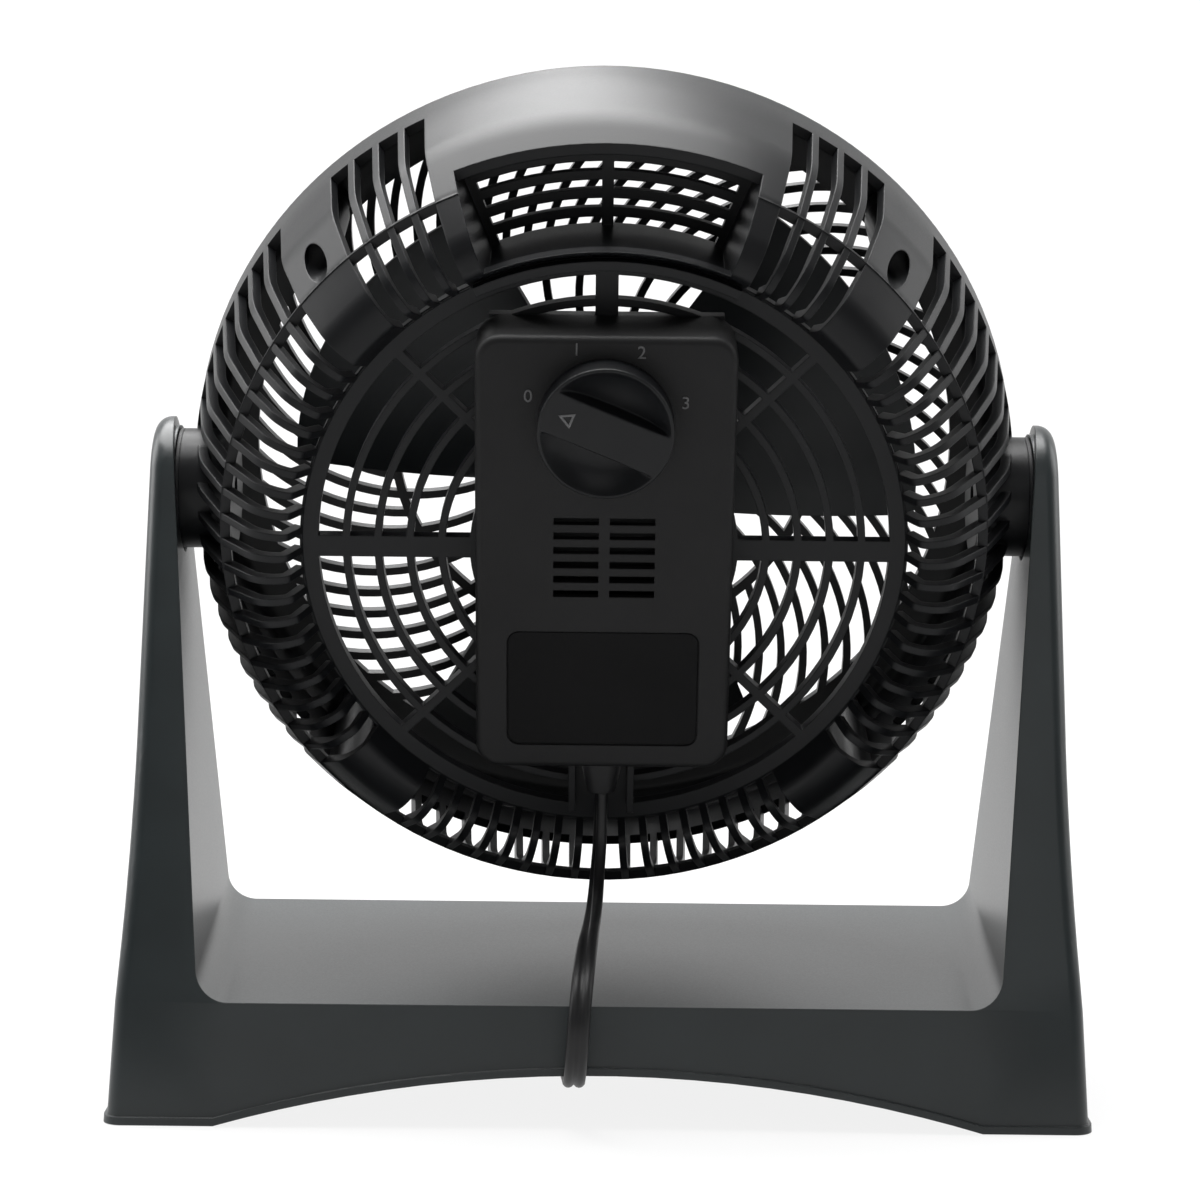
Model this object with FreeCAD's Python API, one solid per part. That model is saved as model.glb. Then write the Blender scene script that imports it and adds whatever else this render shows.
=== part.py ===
import FreeCAD, Part
import math
import os
from FreeCAD import Vector

# High velocity cradle fan, millimetres. +Z is up, the air leaves towards +Y, and the origin lies on the
# floor under the middle of the whole fan. The head is drawn in its own frame (X across, Y along the air
# flow, Z up, origin on the tilt axis) and then tilted and lifted to its place on the stand.

# Rim of the drum, from which the other widths follow
rim_radius = 136.2
rim_front = 25.0

# Stand
arm_gap = 2.8
arm_top_thickness = 7.8
arm_lean = 11.0
arm_draft = 2.9
stand_flare = 5.2
flare_height = 85.0
flare_round = 1100.0
base_half_depth = 85.0
base_top_half_depth = 82.0
base_height = 38.2
head_clearance = 17.0
arm_top_radius = 23.5
arm_edge_round = 5.0
inner_corner_radius = 10.0
stand_wall = 3.0
arm_solid_below_pivot = 75.0
arch_rise = 16.7
foot_length = 32.0
lip_out = 1.0
lip_height = 2.4
pad_radius = 7.0
pad_height = 2.2
pad_stand_off = 0.4
pad_inset = 18.0

# Tilt pivot
rest_tilt = 17.35
pivot_bolt_radius = 4.0
pivot_head_radius = 8.0
pivot_head_height = 3.0
pivot_cap_height = 2.2
pivot_boss_radius = 19.6
pivot_boss_depth = 15.2
pivot_washer_height = 1.2
pivot_seat_margin = 1.0
pivot_spot_margin = 1.5
pivot_bolt_root = 4.0

# Rear housing: the slotted drum. Drops are counted inwards from the rim.
band_drop = 0.8
band_rear = 10.0
bulge_drop = 4.8
bulge_place = -20.0
bulge_round = 40.0
crease_drop = 14.2
crease_place = -41.0
crease_round = 12.0
shoulder_slope = 39.0
shoulder_round = 14.0
housing_rear = -57.5
lip_drop = 37.0
lip_round = 4.0
housing_wall = 3.2
mid_ring_width = 2.2
mid_ring_inset = 0.5
rib_width = 2.4
slots_beside_handle = 4
slots_each_side = 20
slots_below = 18
upper_panel_angle = 9.0
lower_panel_angle = 12.0
slot_margin = 0.5

# Carry handle and its finger pocket
handle_half_angle = 25.0
pocket_half_angle = 22.0
handle_rear = -32.0
pocket_front = -15.0
pocket_wall = 3.0
pocket_floor_drop = 40.0
guard_gap = 2.8
guard_bar = 3.1
guard_rows = 4
guard_post_width = 3.7
guard_half_angle = 20.5

# Rear ring grille
ring_drop = 41.6
ring_band_width = 4.8
grille_rear = -49.2
grille_depth = 4.0
ring_pitch = 10.0
ring_width = 2.4
ring_count = 4
broad_spoke_width = 7.0
thin_spoke_width = 3.0
motor_plate_half_width = 36.0
channel_half_width = 10.5
channel_rib_width = 2.2
channel_rib_height = 6.0

# Front grille
front_face = 42.5
front_crown = 55.0
front_shell = 3.2
front_edge_drop = 3.0
front_edge_lean = 3.3
front_post_drop = 8.0
front_post_radius = 5.5
front_skirt_round = 9.0
front_open_drop = 18.7
front_ring_radius = 72.0
front_ring_width = 3.0
front_hub_radius = 33.0
swirl_start_radius = 40.0
swirl_curve_radius = 67.0
swirl_rib_width = 2.6
swirl_ribs_inner = 32

# Grille screws
screw_drop = 10.8
screw_well_radius = 4.0
screw_post_radius = 6.5
screw_head_radius = 3.5
screw_head_height = 2.4
screw_radius = 1.8
screw_seat = 0.0
screw_well_rear = -47.0
screw_post_front = 20.0
screw_length = 30.0

# Control box
box_half_width = 39.7
box_top = 76.9
box_bottom = -66.4
box_rear = -70.8
box_wall = 2.6
box_corner = 8.0
box_edge_round = 2.5
vent_rows = 6
vent_pitch = 4.8
vent_height = 2.2
vent_inner = 1.7
vent_outer = 15.6
vent_top = 18.8
label_half_width = 30.0
label_height = 39.0
label_centre = -38.7
label_corner = 4.0
label_depth = 0.8
box_screw_radius = 1.5
box_screw_head_radius = 2.9
box_post_radius = 4.2
box_post_inset = 9.0
box_screw_head_height = 2.0
box_screw_length = 15.0

# Speed knob and switch
knob_place = 49.5
knob_radius = 20.7
knob_height = 9.5
knob_edge_round = 1.2
knob_rim_width = 1.6
knob_cap = 2.5
knob_groove_width = 2.0
knob_groove_depth = 1.6
knob_grip_width = 8.0
knob_dish_radius = 16.5
knob_dish_depth = 6.0
knob_rest_angle = 160.0
pointer_length = 4.0
pointer_half_width = 2.0
pointer_gap = 0.4
pointer_rise = 0.5
pointer_depth = 1.5
switch_shaft_radius = 3.0
switch_half_width = 13.0
switch_depth = 10.0
switch_nut_radius = 6.5
switch_nut_height = 2.0
switch_thread_radius = 4.6
switch_nut_room = 1.5
switch_shaft_cap = 3.0
switch_shaft_gap = 4.0
terminal_spacing = 7.5
terminal_half_width = 2.4
terminal_length = 6.0
terminal_thickness = 0.8
terminal_drop = 5.4

# Motor
motor_radius = 37.0
bell_wall = 2.4
bell_rear_depth = 11.0
stator_depth = 18.0
bell_front_depth = 11.0
stator_bore = 20.4
rotor_radius = 20.0
shaft_radius = 4.0
bushing_radius = 8.0
bushing_length = 6.5
winding_inner = 23.0
winding_outer = 33.0
winding_height = 5.0
motor_bolt_circle = 42.0
motor_bolt_radius = 1.8
motor_lug_radius = 6.2
motor_bolt_head_height = 2.2
rotor_gap = 1.0
shaft_end_gap = 0.5

# Fan blade
blade_tip_drop = 33.2
blade_count = 3
blade_hub_radius = 22.0
blade_hub_wall = 2.5
blade_gap = 0.8
blade_hub_depth = 31.0
blade_rest_angle = 182.7
blade_thickness = 2.2
blade_root_chord = 30.0
blade_tip_chord = 126.0
blade_camber = 5.0
blade_nut_radius = 9.0
blade_nut_height = 7.0
blade_nut_round = 2.0
blade_nut_cap = 0.9
blade_root_depth = 8.0
blade_root_lift = 6.0
blade_lift = 8.0
blade_middle_reach = 40.0
blade_middle_share = 0.55
blade_over = 4.0

# Mains cord and plug
cord_radius = 2.4
relief_place = -60.0
relief_length = 12.0
relief_inside = 9.0
relief_half_width = 7.0
relief_half_depth = 6.0
relief_end_half_width = 4.6
relief_corner_share = 0.8
coil_centre_x = 36.0
coil_centre_y = 26.0
coil_outer_radius = 46.0
coil_turn_pitch = 7.4
coil_layer_pitch = 5.5
coil_turns_per_layer = 2.5
coil_climb_turns = 0.5
coil_entry_run = 20.0
cord_first_run = 16.0
cord_corner_share = 0.45
tie_wall = 0.6
tie_gap = 0.4
tie_floor_gap = 0.25
tie_width = 6.0
plug_neck_length = 16.0
plug_length = 26.0
plug_half_width = 12.5
plug_half_height = 8.6
plug_neck_wall = 1.2
plug_waist_wall = 3.0
plug_shoulder_length = 7.0
plug_corner_share = 0.6
plug_blade_length = 17.0
plug_blade_width = 6.3
plug_blade_thickness = 1.5
plug_blade_spacing = 12.7
plug_blade_root = 5.0

# Clearances
running_fit = 0.05
free_gap = 0.3
cut_over = 1.0
through_cut = 40.0
edge_find = 0.01

# Places that follow from the sizes above
tilt = math.radians(rest_tilt)
arm_inner_top = rim_radius + arm_gap
arm_inner_bottom = arm_inner_top - arm_lean
arm_top_half_width = arm_inner_top + arm_top_thickness
stand_half_width = arm_top_half_width + stand_flare
pivot_height = base_height + head_clearance + rim_radius
pivot_boss_root = rim_radius - pivot_boss_depth
ring_outer = rim_radius - ring_drop
ring_inner = ring_outer - ring_band_width
lip_radius = rim_radius - lip_drop
pocket_floor = rim_radius - pocket_floor_drop
screw_circle = rim_radius - screw_drop
front_open_radius = rim_radius - front_open_drop
blade_tip_radius = rim_radius - blade_tip_drop
knob_rear = box_rear - knob_height
rear_reach = -(knob_rear * math.cos(tilt) - (knob_place + knob_radius) * math.sin(tilt))
pivot_y = (rear_reach - base_half_depth - lip_out) / 2
slot_total = 2 * slots_beside_handle + 2 * slots_each_side + slots_below
solid_angle = 2 * handle_half_angle + 2 * upper_panel_angle + 2 * lower_panel_angle
slot_angle = (360.0 - solid_angle) / slot_total
grille_front = grille_rear + grille_depth
bell_rear_front = grille_front + bell_rear_depth
stator_front = bell_rear_front + stator_depth
motor_front = stator_front + bell_front_depth
blade_rear = motor_front + motor_bolt_head_height + blade_gap
blade_front = blade_rear + blade_hub_depth
arm_face = arm_inner_top
washer_inner = arm_face - free_gap - pivot_washer_height
bolt_head_inner = arm_top_half_width - pivot_cap_height - pivot_head_height - free_gap
AXIS = Vector(0, 1, 0)
ORIGIN = Vector(0, 0, 0)


def cylinder(radius, start, length, direction):
    """A round bar from a start point along a direction."""
    return Part.makeCylinder(radius, length, start, direction)


def tube(outer, inner, start, length, direction):
    """A round bar with a concentric bore."""
    return cylinder(outer, start, length, direction).cut(cylinder(inner, start, length, direction))


def block(x0, x1, y0, y1, z0, z1):
    """A box between two corners."""
    return Part.makeBox(x1 - x0, y1 - y0, z1 - z0, Vector(x0, y0, z0))


def polygon_face(points):
    """A flat face inside a closed outline of straight lines."""
    return Part.Face(Part.makePolygon(points + [points[0]]))


def polar(radius, degrees, place=0.0):
    """A point at a radius and an angle round the head axis, the angle counted from +X towards +Z."""
    angle = math.radians(degrees)
    return Vector(radius * math.cos(angle), place, radius * math.sin(angle))


def corner_arc(before, corner, after, radius):
    """The rounding of a corner: its tangent points and its middle point."""
    back = (before - corner).normalize()
    ahead = (after - corner).normalize()
    half = back.getAngle(ahead) / 2
    middle = (back + ahead).normalize()
    reach = radius / math.tan(half)
    centre = corner + middle * (radius / math.sin(half))
    return corner + back * reach, centre - middle * radius, corner + ahead * reach


def rounded_path(points, radii):
    """Edges along straight runs whose inner corners are rounded by the given radii."""
    edges = []
    here = points[0]
    for i in range(1, len(points) - 1):
        if radii[i - 1] > 0:
            start, middle, end = corner_arc(points[i - 1], points[i], points[i + 1], radii[i - 1])
            edges.append(Part.LineSegment(here, start).toShape())
            edges.append(Part.Arc(start, middle, end).toShape())
            here = end
        else:
            edges.append(Part.LineSegment(here, points[i]).toShape())
            here = points[i]
    edges.append(Part.LineSegment(here, points[-1]).toShape())
    return edges


def offset_path(points, distance):
    """A path of straight runs moved sideways, to the left of its direction in the XY plane."""
    sides = []
    for a, b in zip(points, points[1:]):
        run = (b - a).normalize()
        sides.append((a + Vector(-run.y, run.x, 0) * distance, run))
    moved = [sides[0][0]]
    for (p, u), (q, v) in zip(sides, sides[1:]):
        cross = u.x * v.y - u.y * v.x
        along = ((q.x - p.x) * v.y - (q.y - p.y) * v.x) / cross
        moved.append(p + u * along)
    last, run = sides[-1]
    moved.append(last + run * (points[-1] - points[-2]).Length)
    return moved


def square_end(first, second, place):
    """The first point of a path slid along its first run to a place along the head axis."""
    return first + (second - first) * ((place - first.y) / (second.y - first.y))


def shell_section(points, radii, wall):
    """The half section of a turned shell: an outer path and the same path moved in by the wall."""
    inner = offset_path(points, wall)
    inner[0] = square_end(inner[0], inner[1], points[0].y)
    inner_radii = [max(r + wall, 0) for r in radii]
    edges = rounded_path(points, radii)
    edges.append(Part.LineSegment(points[-1], inner[-1]).toShape())
    edges += rounded_path(inner, inner_radii)
    edges.append(Part.LineSegment(inner[0], points[0]).toShape())
    return Part.Face(Part.Wire(Part.__sortEdges__(edges)))


def turned(face, degrees=360.0, start=0.0):
    """A half section in the XY plane turned round the head axis, beginning at an angle from +X to +Z."""
    placed = face.copy()
    placed.rotate(ORIGIN, AXIS, -start)
    return placed.revolve(ORIGIN, AXIS, -degrees)


def sector(inner, outer, rear, front, start, degrees):
    """A piece of a ring with a square section."""
    places = ((inner, rear), (outer, rear), (outer, front), (inner, front))
    corners = [Vector(radius, along, 0) for radius, along in places]
    return turned(polygon_face(corners), degrees, start)


def seat(shape):
    """Tilts and lifts a piece of the head to its place at rest."""
    placed = shape.copy()
    placed.rotate(ORIGIN, Vector(1, 0, 0), rest_tilt)
    placed.translate(Vector(0, pivot_y, pivot_height))
    return placed


def arm_outer_at(height):
    """Half width over the arms at a height: upright above the flare, wider towards the floor."""
    share = max(flare_height - height, 0) / (flare_height - pad_stand_off)
    return arm_top_half_width + stand_flare * share


def arm_inner_at(height):
    """Half width between the arms at a height."""
    share = (height - base_height) / (pivot_height - base_height)
    return arm_inner_bottom + (arm_inner_top - arm_inner_bottom) * share


def arm_side_wire(inset):
    """Side outline of the stand: a broad foot that narrows to a round arm end, drawn at X = 0."""
    radius = arm_top_radius - inset
    shoulder_y = base_top_half_depth - inset
    reach = math.hypot(shoulder_y, pivot_height - base_height)
    lean = math.atan2(shoulder_y, pivot_height - base_height) - math.asin(radius / reach)
    touch = Vector(0, radius * math.cos(lean), pivot_height + radius * math.sin(lean))
    foot = Vector(0, base_half_depth - inset, pad_stand_off)
    shoulder = Vector(0, shoulder_y, base_height)
    crown = Vector(0, 0, pivot_height + radius)
    left = [Vector(0, -p.y, p.z) for p in (foot, shoulder, touch)]
    edges = [Part.LineSegment(foot, shoulder).toShape()]
    edges.append(Part.LineSegment(shoulder, touch).toShape())
    edges.append(Part.Arc(touch, crown, left[2]).toShape())
    edges.append(Part.LineSegment(left[2], left[1]).toShape())
    edges.append(Part.LineSegment(left[1], left[0]).toShape())
    edges.append(Part.LineSegment(left[0], foot).toShape())
    return Part.Wire(edges)


def side_prism(inset):
    """The side outline of the stand carried across its whole width."""
    face = Part.Face(arm_side_wire(inset))
    face.translate(Vector(-stand_half_width - cut_over, 0, 0))
    return face.extrude(Vector(2 * stand_half_width + 2 * cut_over, 0, 0))


def flat_solid(first, second):
    """A solid with flat sides between two outlines with the same number of corners."""
    faces = [polygon_face(first), polygon_face(second)]
    for i in range(len(first)):
        j = (i + 1) % len(first)
        faces.append(polygon_face([first[i], first[j], second[j], second[i]]))
    solid = Part.Solid(Part.Shell(faces))
    if solid.Volume < 0:
        return flat_solid(first[::-1], second[::-1])
    return solid


def arm_cavity(side):
    """The hollow inside one arm, open to the hollow of the base."""
    low = base_height - 2 * stand_wall
    high = pivot_height - arm_solid_below_pivot
    outlines = []
    for y in (-base_half_depth, base_half_depth):
        corners = [
            (arm_inner_at(low) + arm_toe(y) + stand_wall, low),
            (arm_outer_at(low) - stand_wall, low),
            (arm_outer_at(high) - stand_wall, high),
            (arm_inner_at(high) + arm_toe(y) + stand_wall, high),
        ]
        outlines.append([Vector(side * x, y, z) for x, z in corners])
    return flat_solid(outlines[0], outlines[1]).common(side_prism(stand_wall))


def arm_toe(y):
    """How far the drafted inner face of an arm stands outside its middle line."""
    return y * math.tan(math.radians(arm_draft))


def arm_bay():
    """The space between the arms: flat drafted sides and a rounded corner along the foot of each arm."""
    top = pivot_height + arm_top_radius + cut_over
    reach = base_half_depth + lip_out + cut_over
    outlines = []
    for y in (-reach, reach):
        low_x = arm_inner_bottom + arm_toe(y)
        high_x = arm_inner_at(top) + arm_toe(y)
        corners = [(-low_x, base_height), (low_x, base_height), (high_x, top), (-high_x, top)]
        outlines.append([Vector(x, y, z) for x, z in corners])
    bay = flat_solid(outlines[0], outlines[1])
    low_edges = []
    for edge in bay.Edges:
        box = edge.BoundBox
        if box.YLength > reach and box.ZMax < base_height + edge_find:
            low_edges.append(edge)
    return bay.makeFillet(inner_corner_radius, low_edges)


def base_lip(arch):
    """The thin lip that follows the lower edge of the base and its arches."""
    low_y = base_half_depth + lip_out
    high_y = base_top_half_depth + lip_out
    low_x = stand_half_width + lip_out
    high_x = arm_outer_at(base_height) + lip_out
    long_face = polygon_face([
        Vector(-low_x, -low_y, pad_stand_off),
        Vector(low_x, -low_y, pad_stand_off),
        Vector(high_x, -low_y, base_height),
        Vector(-high_x, -low_y, base_height),
    ])
    short_face = polygon_face([
        Vector(-low_x, -low_y, pad_stand_off),
        Vector(-low_x, low_y, pad_stand_off),
        Vector(-low_x, high_y, base_height),
        Vector(-low_x, -high_y, base_height),
    ])
    skirt = long_face.extrude(Vector(0, 2 * low_y, 0)).common(short_face.extrude(Vector(2 * low_x, 0, 0)))
    upright = [e for e in skirt.Edges if e.BoundBox.ZLength > lip_height]
    skirt = skirt.makeFillet(arm_edge_round + lip_out, upright)
    raised = arch.copy()
    raised.translate(Vector(0, 0, lip_height))
    band = block(-low_x, low_x, -low_y, low_y, pad_stand_off, pad_stand_off + lip_height)
    return skirt.common(band.fuse(raised))


def stand():
    """The U-shaped stand: hollow base with arched edges, two hollow arms and their pivot seats."""
    top = pivot_height + arm_top_radius + cut_over
    outline = [
        Vector(-stand_half_width, -base_half_depth, pad_stand_off),
        Vector(-arm_top_half_width, -base_half_depth, flare_height),
        Vector(-arm_top_half_width, -base_half_depth, top),
        Vector(arm_top_half_width, -base_half_depth, top),
        Vector(arm_top_half_width, -base_half_depth, flare_height),
        Vector(stand_half_width, -base_half_depth, pad_stand_off),
    ]
    edges = rounded_path(outline, [flare_round, 0, 0, flare_round])
    edges.append(Part.LineSegment(outline[-1], outline[0]).toShape())
    blank = Part.Face(Part.Wire(edges)).extrude(Vector(0, 2 * base_half_depth, 0))
    body = side_prism(0).common(blank)
    rims = []
    for edge in body.Edges:
        box = edge.BoundBox
        outside = min(abs(box.XMin), abs(box.XMax)) > arm_top_half_width - edge_find
        if outside and box.YLength < 2 * base_half_depth - edge_find and box.XLength < 2 * stand_flare:
            rims.append(edge)
    body = body.makeFillet(arm_edge_round, rims)

    floor_half = base_half_depth - stand_wall
    roof_half = base_top_half_depth - stand_wall
    roof = base_height - stand_wall
    hollow_half = arm_outer_at(roof) - stand_wall
    hollow = polygon_face([
        Vector(-hollow_half, -floor_half, 0),
        Vector(-hollow_half, floor_half, 0),
        Vector(-hollow_half, roof_half, roof),
        Vector(-hollow_half, -roof_half, roof),
    ]).extrude(Vector(2 * hollow_half, 0, 0))
    arch_half = stand_half_width - foot_length
    arch_y = -base_half_depth - lip_out - cut_over
    chord = Part.LineSegment(Vector(arch_half, arch_y, 0), Vector(-arch_half, arch_y, 0))
    arch_edge = Part.Arc(
        Vector(-arch_half, arch_y, 0),
        Vector(0, arch_y, arch_rise + pad_stand_off),
        Vector(arch_half, arch_y, 0),
    )
    arch_face = Part.Face(Part.Wire([arch_edge.toShape(), chord.toShape()]))
    arch = arch_face.extrude(Vector(0, -2 * arch_y, 0))
    body = body.cut(arm_bay()).fuse(base_lip(arch))
    body = body.cut([hollow, arch, arm_cavity(-1), arm_cavity(1)])

    posts = []
    for x, y in pad_places():
        post_height = base_height - pad_height - stand_wall / 2
        posts.append(cylinder(pad_radius, Vector(x, y, pad_height), post_height, Vector(0, 0, 1)))
    seats = []
    bores = []
    for side in (-1, 1):
        outward = Vector(side, 0, 0)
        pivot = Vector(0, 0, pivot_height)
        pad_depth = (arm_top_half_width - arm_face) / 2
        seat_radius = pivot_boss_radius + pivot_seat_margin
        seats.append(cylinder(seat_radius, pivot + outward * arm_face, pad_depth, outward))
        spot_depth = arm_face - arm_inner_bottom
        inner_point = pivot + outward * arm_inner_bottom
        bores.append(cylinder(pivot_boss_radius + pivot_spot_margin, inner_point, spot_depth, outward))
        bores.append(cylinder(pivot_bolt_radius + running_fit, inner_point, through_cut, outward))
        well = pivot + outward * (bolt_head_inner - free_gap)
        bores.append(cylinder(pivot_head_radius + free_gap, well, through_cut, outward))
    body = body.fuse(posts + seats).cut(bores).removeSplitter()
    body.translate(Vector(0, pivot_y, 0))
    return body


def pad_places():
    """The four places of the rubber feet, seen from above with the pivot at Y = 0."""
    x = stand_half_width - pad_inset
    y = base_half_depth - pad_inset
    return [(-x, -y), (x, -y), (-x, y), (x, y)]


def rubber_feet():
    """Four rubber pads under the posts of the base."""
    pads = []
    for x, y in pad_places():
        pads.append(cylinder(pad_radius, Vector(x, y + pivot_y, 0), pad_height, Vector(0, 0, 1)))
    return Part.makeCompound(pads)


def pivot_pieces():
    """Bolts, friction washers and cover caps of the tilt pivot, two of each."""
    bolts = []
    washers = []
    caps = []
    for side in (-1, 1):
        outward = Vector(side, 0, 0)
        shank_root = pivot_boss_root + pivot_bolt_root
        shank = cylinder(pivot_bolt_radius, outward * shank_root, bolt_head_inner - shank_root, outward)
        head = cylinder(pivot_head_radius, outward * bolt_head_inner, pivot_head_height, outward)
        bolts.append(shank.fuse(head).removeSplitter())
        bore = pivot_bolt_radius + running_fit
        washers.append(tube(pivot_boss_radius, bore, outward * washer_inner, pivot_washer_height, outward))
        cap_start = Vector(side * (arm_top_half_width - pivot_cap_height), pivot_y, pivot_height)
        caps.append(cylinder(pivot_head_radius + free_gap, cap_start, pivot_cap_height, outward))
    return Part.makeCompound(bolts), Part.makeCompound(washers), Part.makeCompound(caps)


def drum_path():
    """Outer half section of the drum from the front rim to the rear ring, corners left sharp."""
    lean = math.tan(math.radians(shoulder_slope))
    turn = rim_radius - crease_drop - (crease_place - housing_rear) * lean
    return [
        Vector(rim_radius, rim_front, 0),
        Vector(rim_radius - band_drop, band_rear, 0),
        Vector(rim_radius - bulge_drop, bulge_place, 0),
        Vector(rim_radius - crease_drop, crease_place, 0),
        Vector(turn, housing_rear, 0),
        Vector(lip_radius, housing_rear, 0),
        Vector(ring_outer, grille_rear, 0),
    ]


def drum_radii():
    """Roundings of the corners of the drum's half section."""
    return [0, bulge_round, crease_round, shoulder_round, lip_round]


def drum_radius_at(place):
    """Outer radius of the drum wall between the rim and the shoulder."""
    path = drum_path()
    for before, after in zip(path, path[1:]):
        if after.y <= place:
            share = (place - before.y) / (after.y - before.y)
            return before.x + (after.x - before.x) * share
    return path[-1].x


def slot_runs():
    """Start angle and number of slots of each slotted stretch of the drum."""
    runs = []
    angle = 90.0 + handle_half_angle
    runs.append((angle, slots_beside_handle))
    angle += slots_beside_handle * slot_angle + upper_panel_angle
    runs.append((angle, slots_each_side))
    angle += slots_each_side * slot_angle + lower_panel_angle
    runs.append((angle, slots_below))
    angle += slots_below * slot_angle + lower_panel_angle
    runs.append((angle, slots_each_side))
    angle += slots_each_side * slot_angle + upper_panel_angle
    runs.append((angle, slots_beside_handle))
    return runs


def screw_angles():
    """Angles of the four grille screws, at the middle of the solid panels."""
    upper = 90.0 + handle_half_angle + slots_beside_handle * slot_angle + upper_panel_angle / 2
    lower = 270.0 - slots_below * slot_angle / 2 - lower_panel_angle / 2
    return [upper, 180.0 - upper, lower, 540.0 - lower]


def slot_cutter(angle, inner, outer, rear, front):
    """The gap between two neighbouring ribs with parallel sides."""
    half = rib_width / 2
    corners = []
    for radius, degrees, offset in (
        (inner, angle, half),
        (outer, angle, half),
        (outer, angle + slot_angle, -half),
        (inner, angle + slot_angle, -half),
    ):
        corners.append(polar(radius, degrees, rear) + polar(offset, degrees + 90))
    return polygon_face(corners).extrude(Vector(0, front - rear, 0))


def ring_grille():
    """The flat ring grille at the rear with its spokes and the solid plate behind the control box."""
    def disc(radius):
        return Part.Face(Part.Wire(Part.makeCircle(radius, ORIGIN, AXIS)))

    def strip(half_width, length, degrees):
        corners = [Vector(-length, 0, -half_width), Vector(length, 0, -half_width)]
        corners += [Vector(length, 0, half_width), Vector(-length, 0, half_width)]
        face = polygon_face(corners)
        face.rotate(ORIGIN, AXIS, degrees)
        return face

    bars = [strip(broad_spoke_width / 2, ring_outer, a) for a in (0, 90)]
    bars += [strip(thin_spoke_width / 2, ring_outer, a) for a in (45, 135)]
    bars.append(polygon_face([
        Vector(-channel_half_width, 0, -ring_outer),
        Vector(channel_half_width, 0, -ring_outer),
        Vector(channel_half_width, 0, 0),
        Vector(-channel_half_width, 0, 0),
    ]))
    bars.append(polygon_face([
        Vector(-motor_plate_half_width, 0, box_bottom),
        Vector(motor_plate_half_width, 0, box_bottom),
        Vector(motor_plate_half_width, 0, box_top),
        Vector(-motor_plate_half_width, 0, box_top),
    ]))
    gaps = []
    outer = ring_inner
    for _ in range(ring_count + 1):
        inner = outer - ring_pitch + ring_width
        gaps.append(disc(outer).cut(disc(inner)))
        outer = inner - ring_width
    openings = Part.makeCompound(gaps).cut(bars)
    plate = disc(ring_outer + cut_over).cut(openings.Faces)
    plate.translate(Vector(0, grille_rear, 0))
    ribs = []
    for x in (-channel_half_width, channel_half_width - channel_rib_width):
        ribs.append(block(x, x + channel_rib_width, grille_rear - channel_rib_height, grille_front,
                          -ring_inner, box_bottom - free_gap))
    return plate.extrude(Vector(0, grille_depth, 0)).fuse(ribs)


def handle_pocket():
    """The finger pocket behind the handle: floor, end walls and the barred guard towards the blade."""
    start = 90.0 - handle_half_angle
    whole = 2 * handle_half_angle
    roof = drum_radius_at(pocket_front) - housing_wall / 2
    floor_under = pocket_floor - pocket_wall
    floor = sector(floor_under, pocket_floor, housing_rear + cut_over, pocket_front, start, whole)
    guard = sector(floor_under, roof, pocket_front - pocket_wall, pocket_front, start, whole)
    pieces = [floor, guard]
    end_angle = handle_half_angle - pocket_half_angle
    for begin in (start, 90.0 + pocket_half_angle):
        wall = sector(floor_under, rim_radius, housing_rear, pocket_front, begin, end_angle)
        pieces.append(wall.common(drum_core()))
    gaps = []
    inner = pocket_floor
    post_half = guard_post_width / 2
    for _ in range(guard_rows):
        row = sector(inner, inner + guard_gap, pocket_front - pocket_wall - cut_over, pocket_front + cut_over,
                     90.0 - guard_half_angle, 2 * guard_half_angle)
        gaps.append(row.cut(block(-post_half, post_half, -rim_radius, rim_radius, 0, rim_radius)))
        inner += guard_gap + guard_bar
    return pieces[0].fuse(pieces[1:]).cut(gaps)


def drum_core():
    """Everything inside the outer surface of the drum, as one solid."""
    path = drum_path()
    ends = [Vector(0, grille_rear, 0), Vector(0, rim_front, 0)]
    edges = rounded_path(path + ends, drum_radii() + [0, 0])
    edges.append(Part.LineSegment(ends[1], path[0]).toShape())
    return turned(Part.Face(Part.Wire(edges)))


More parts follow.
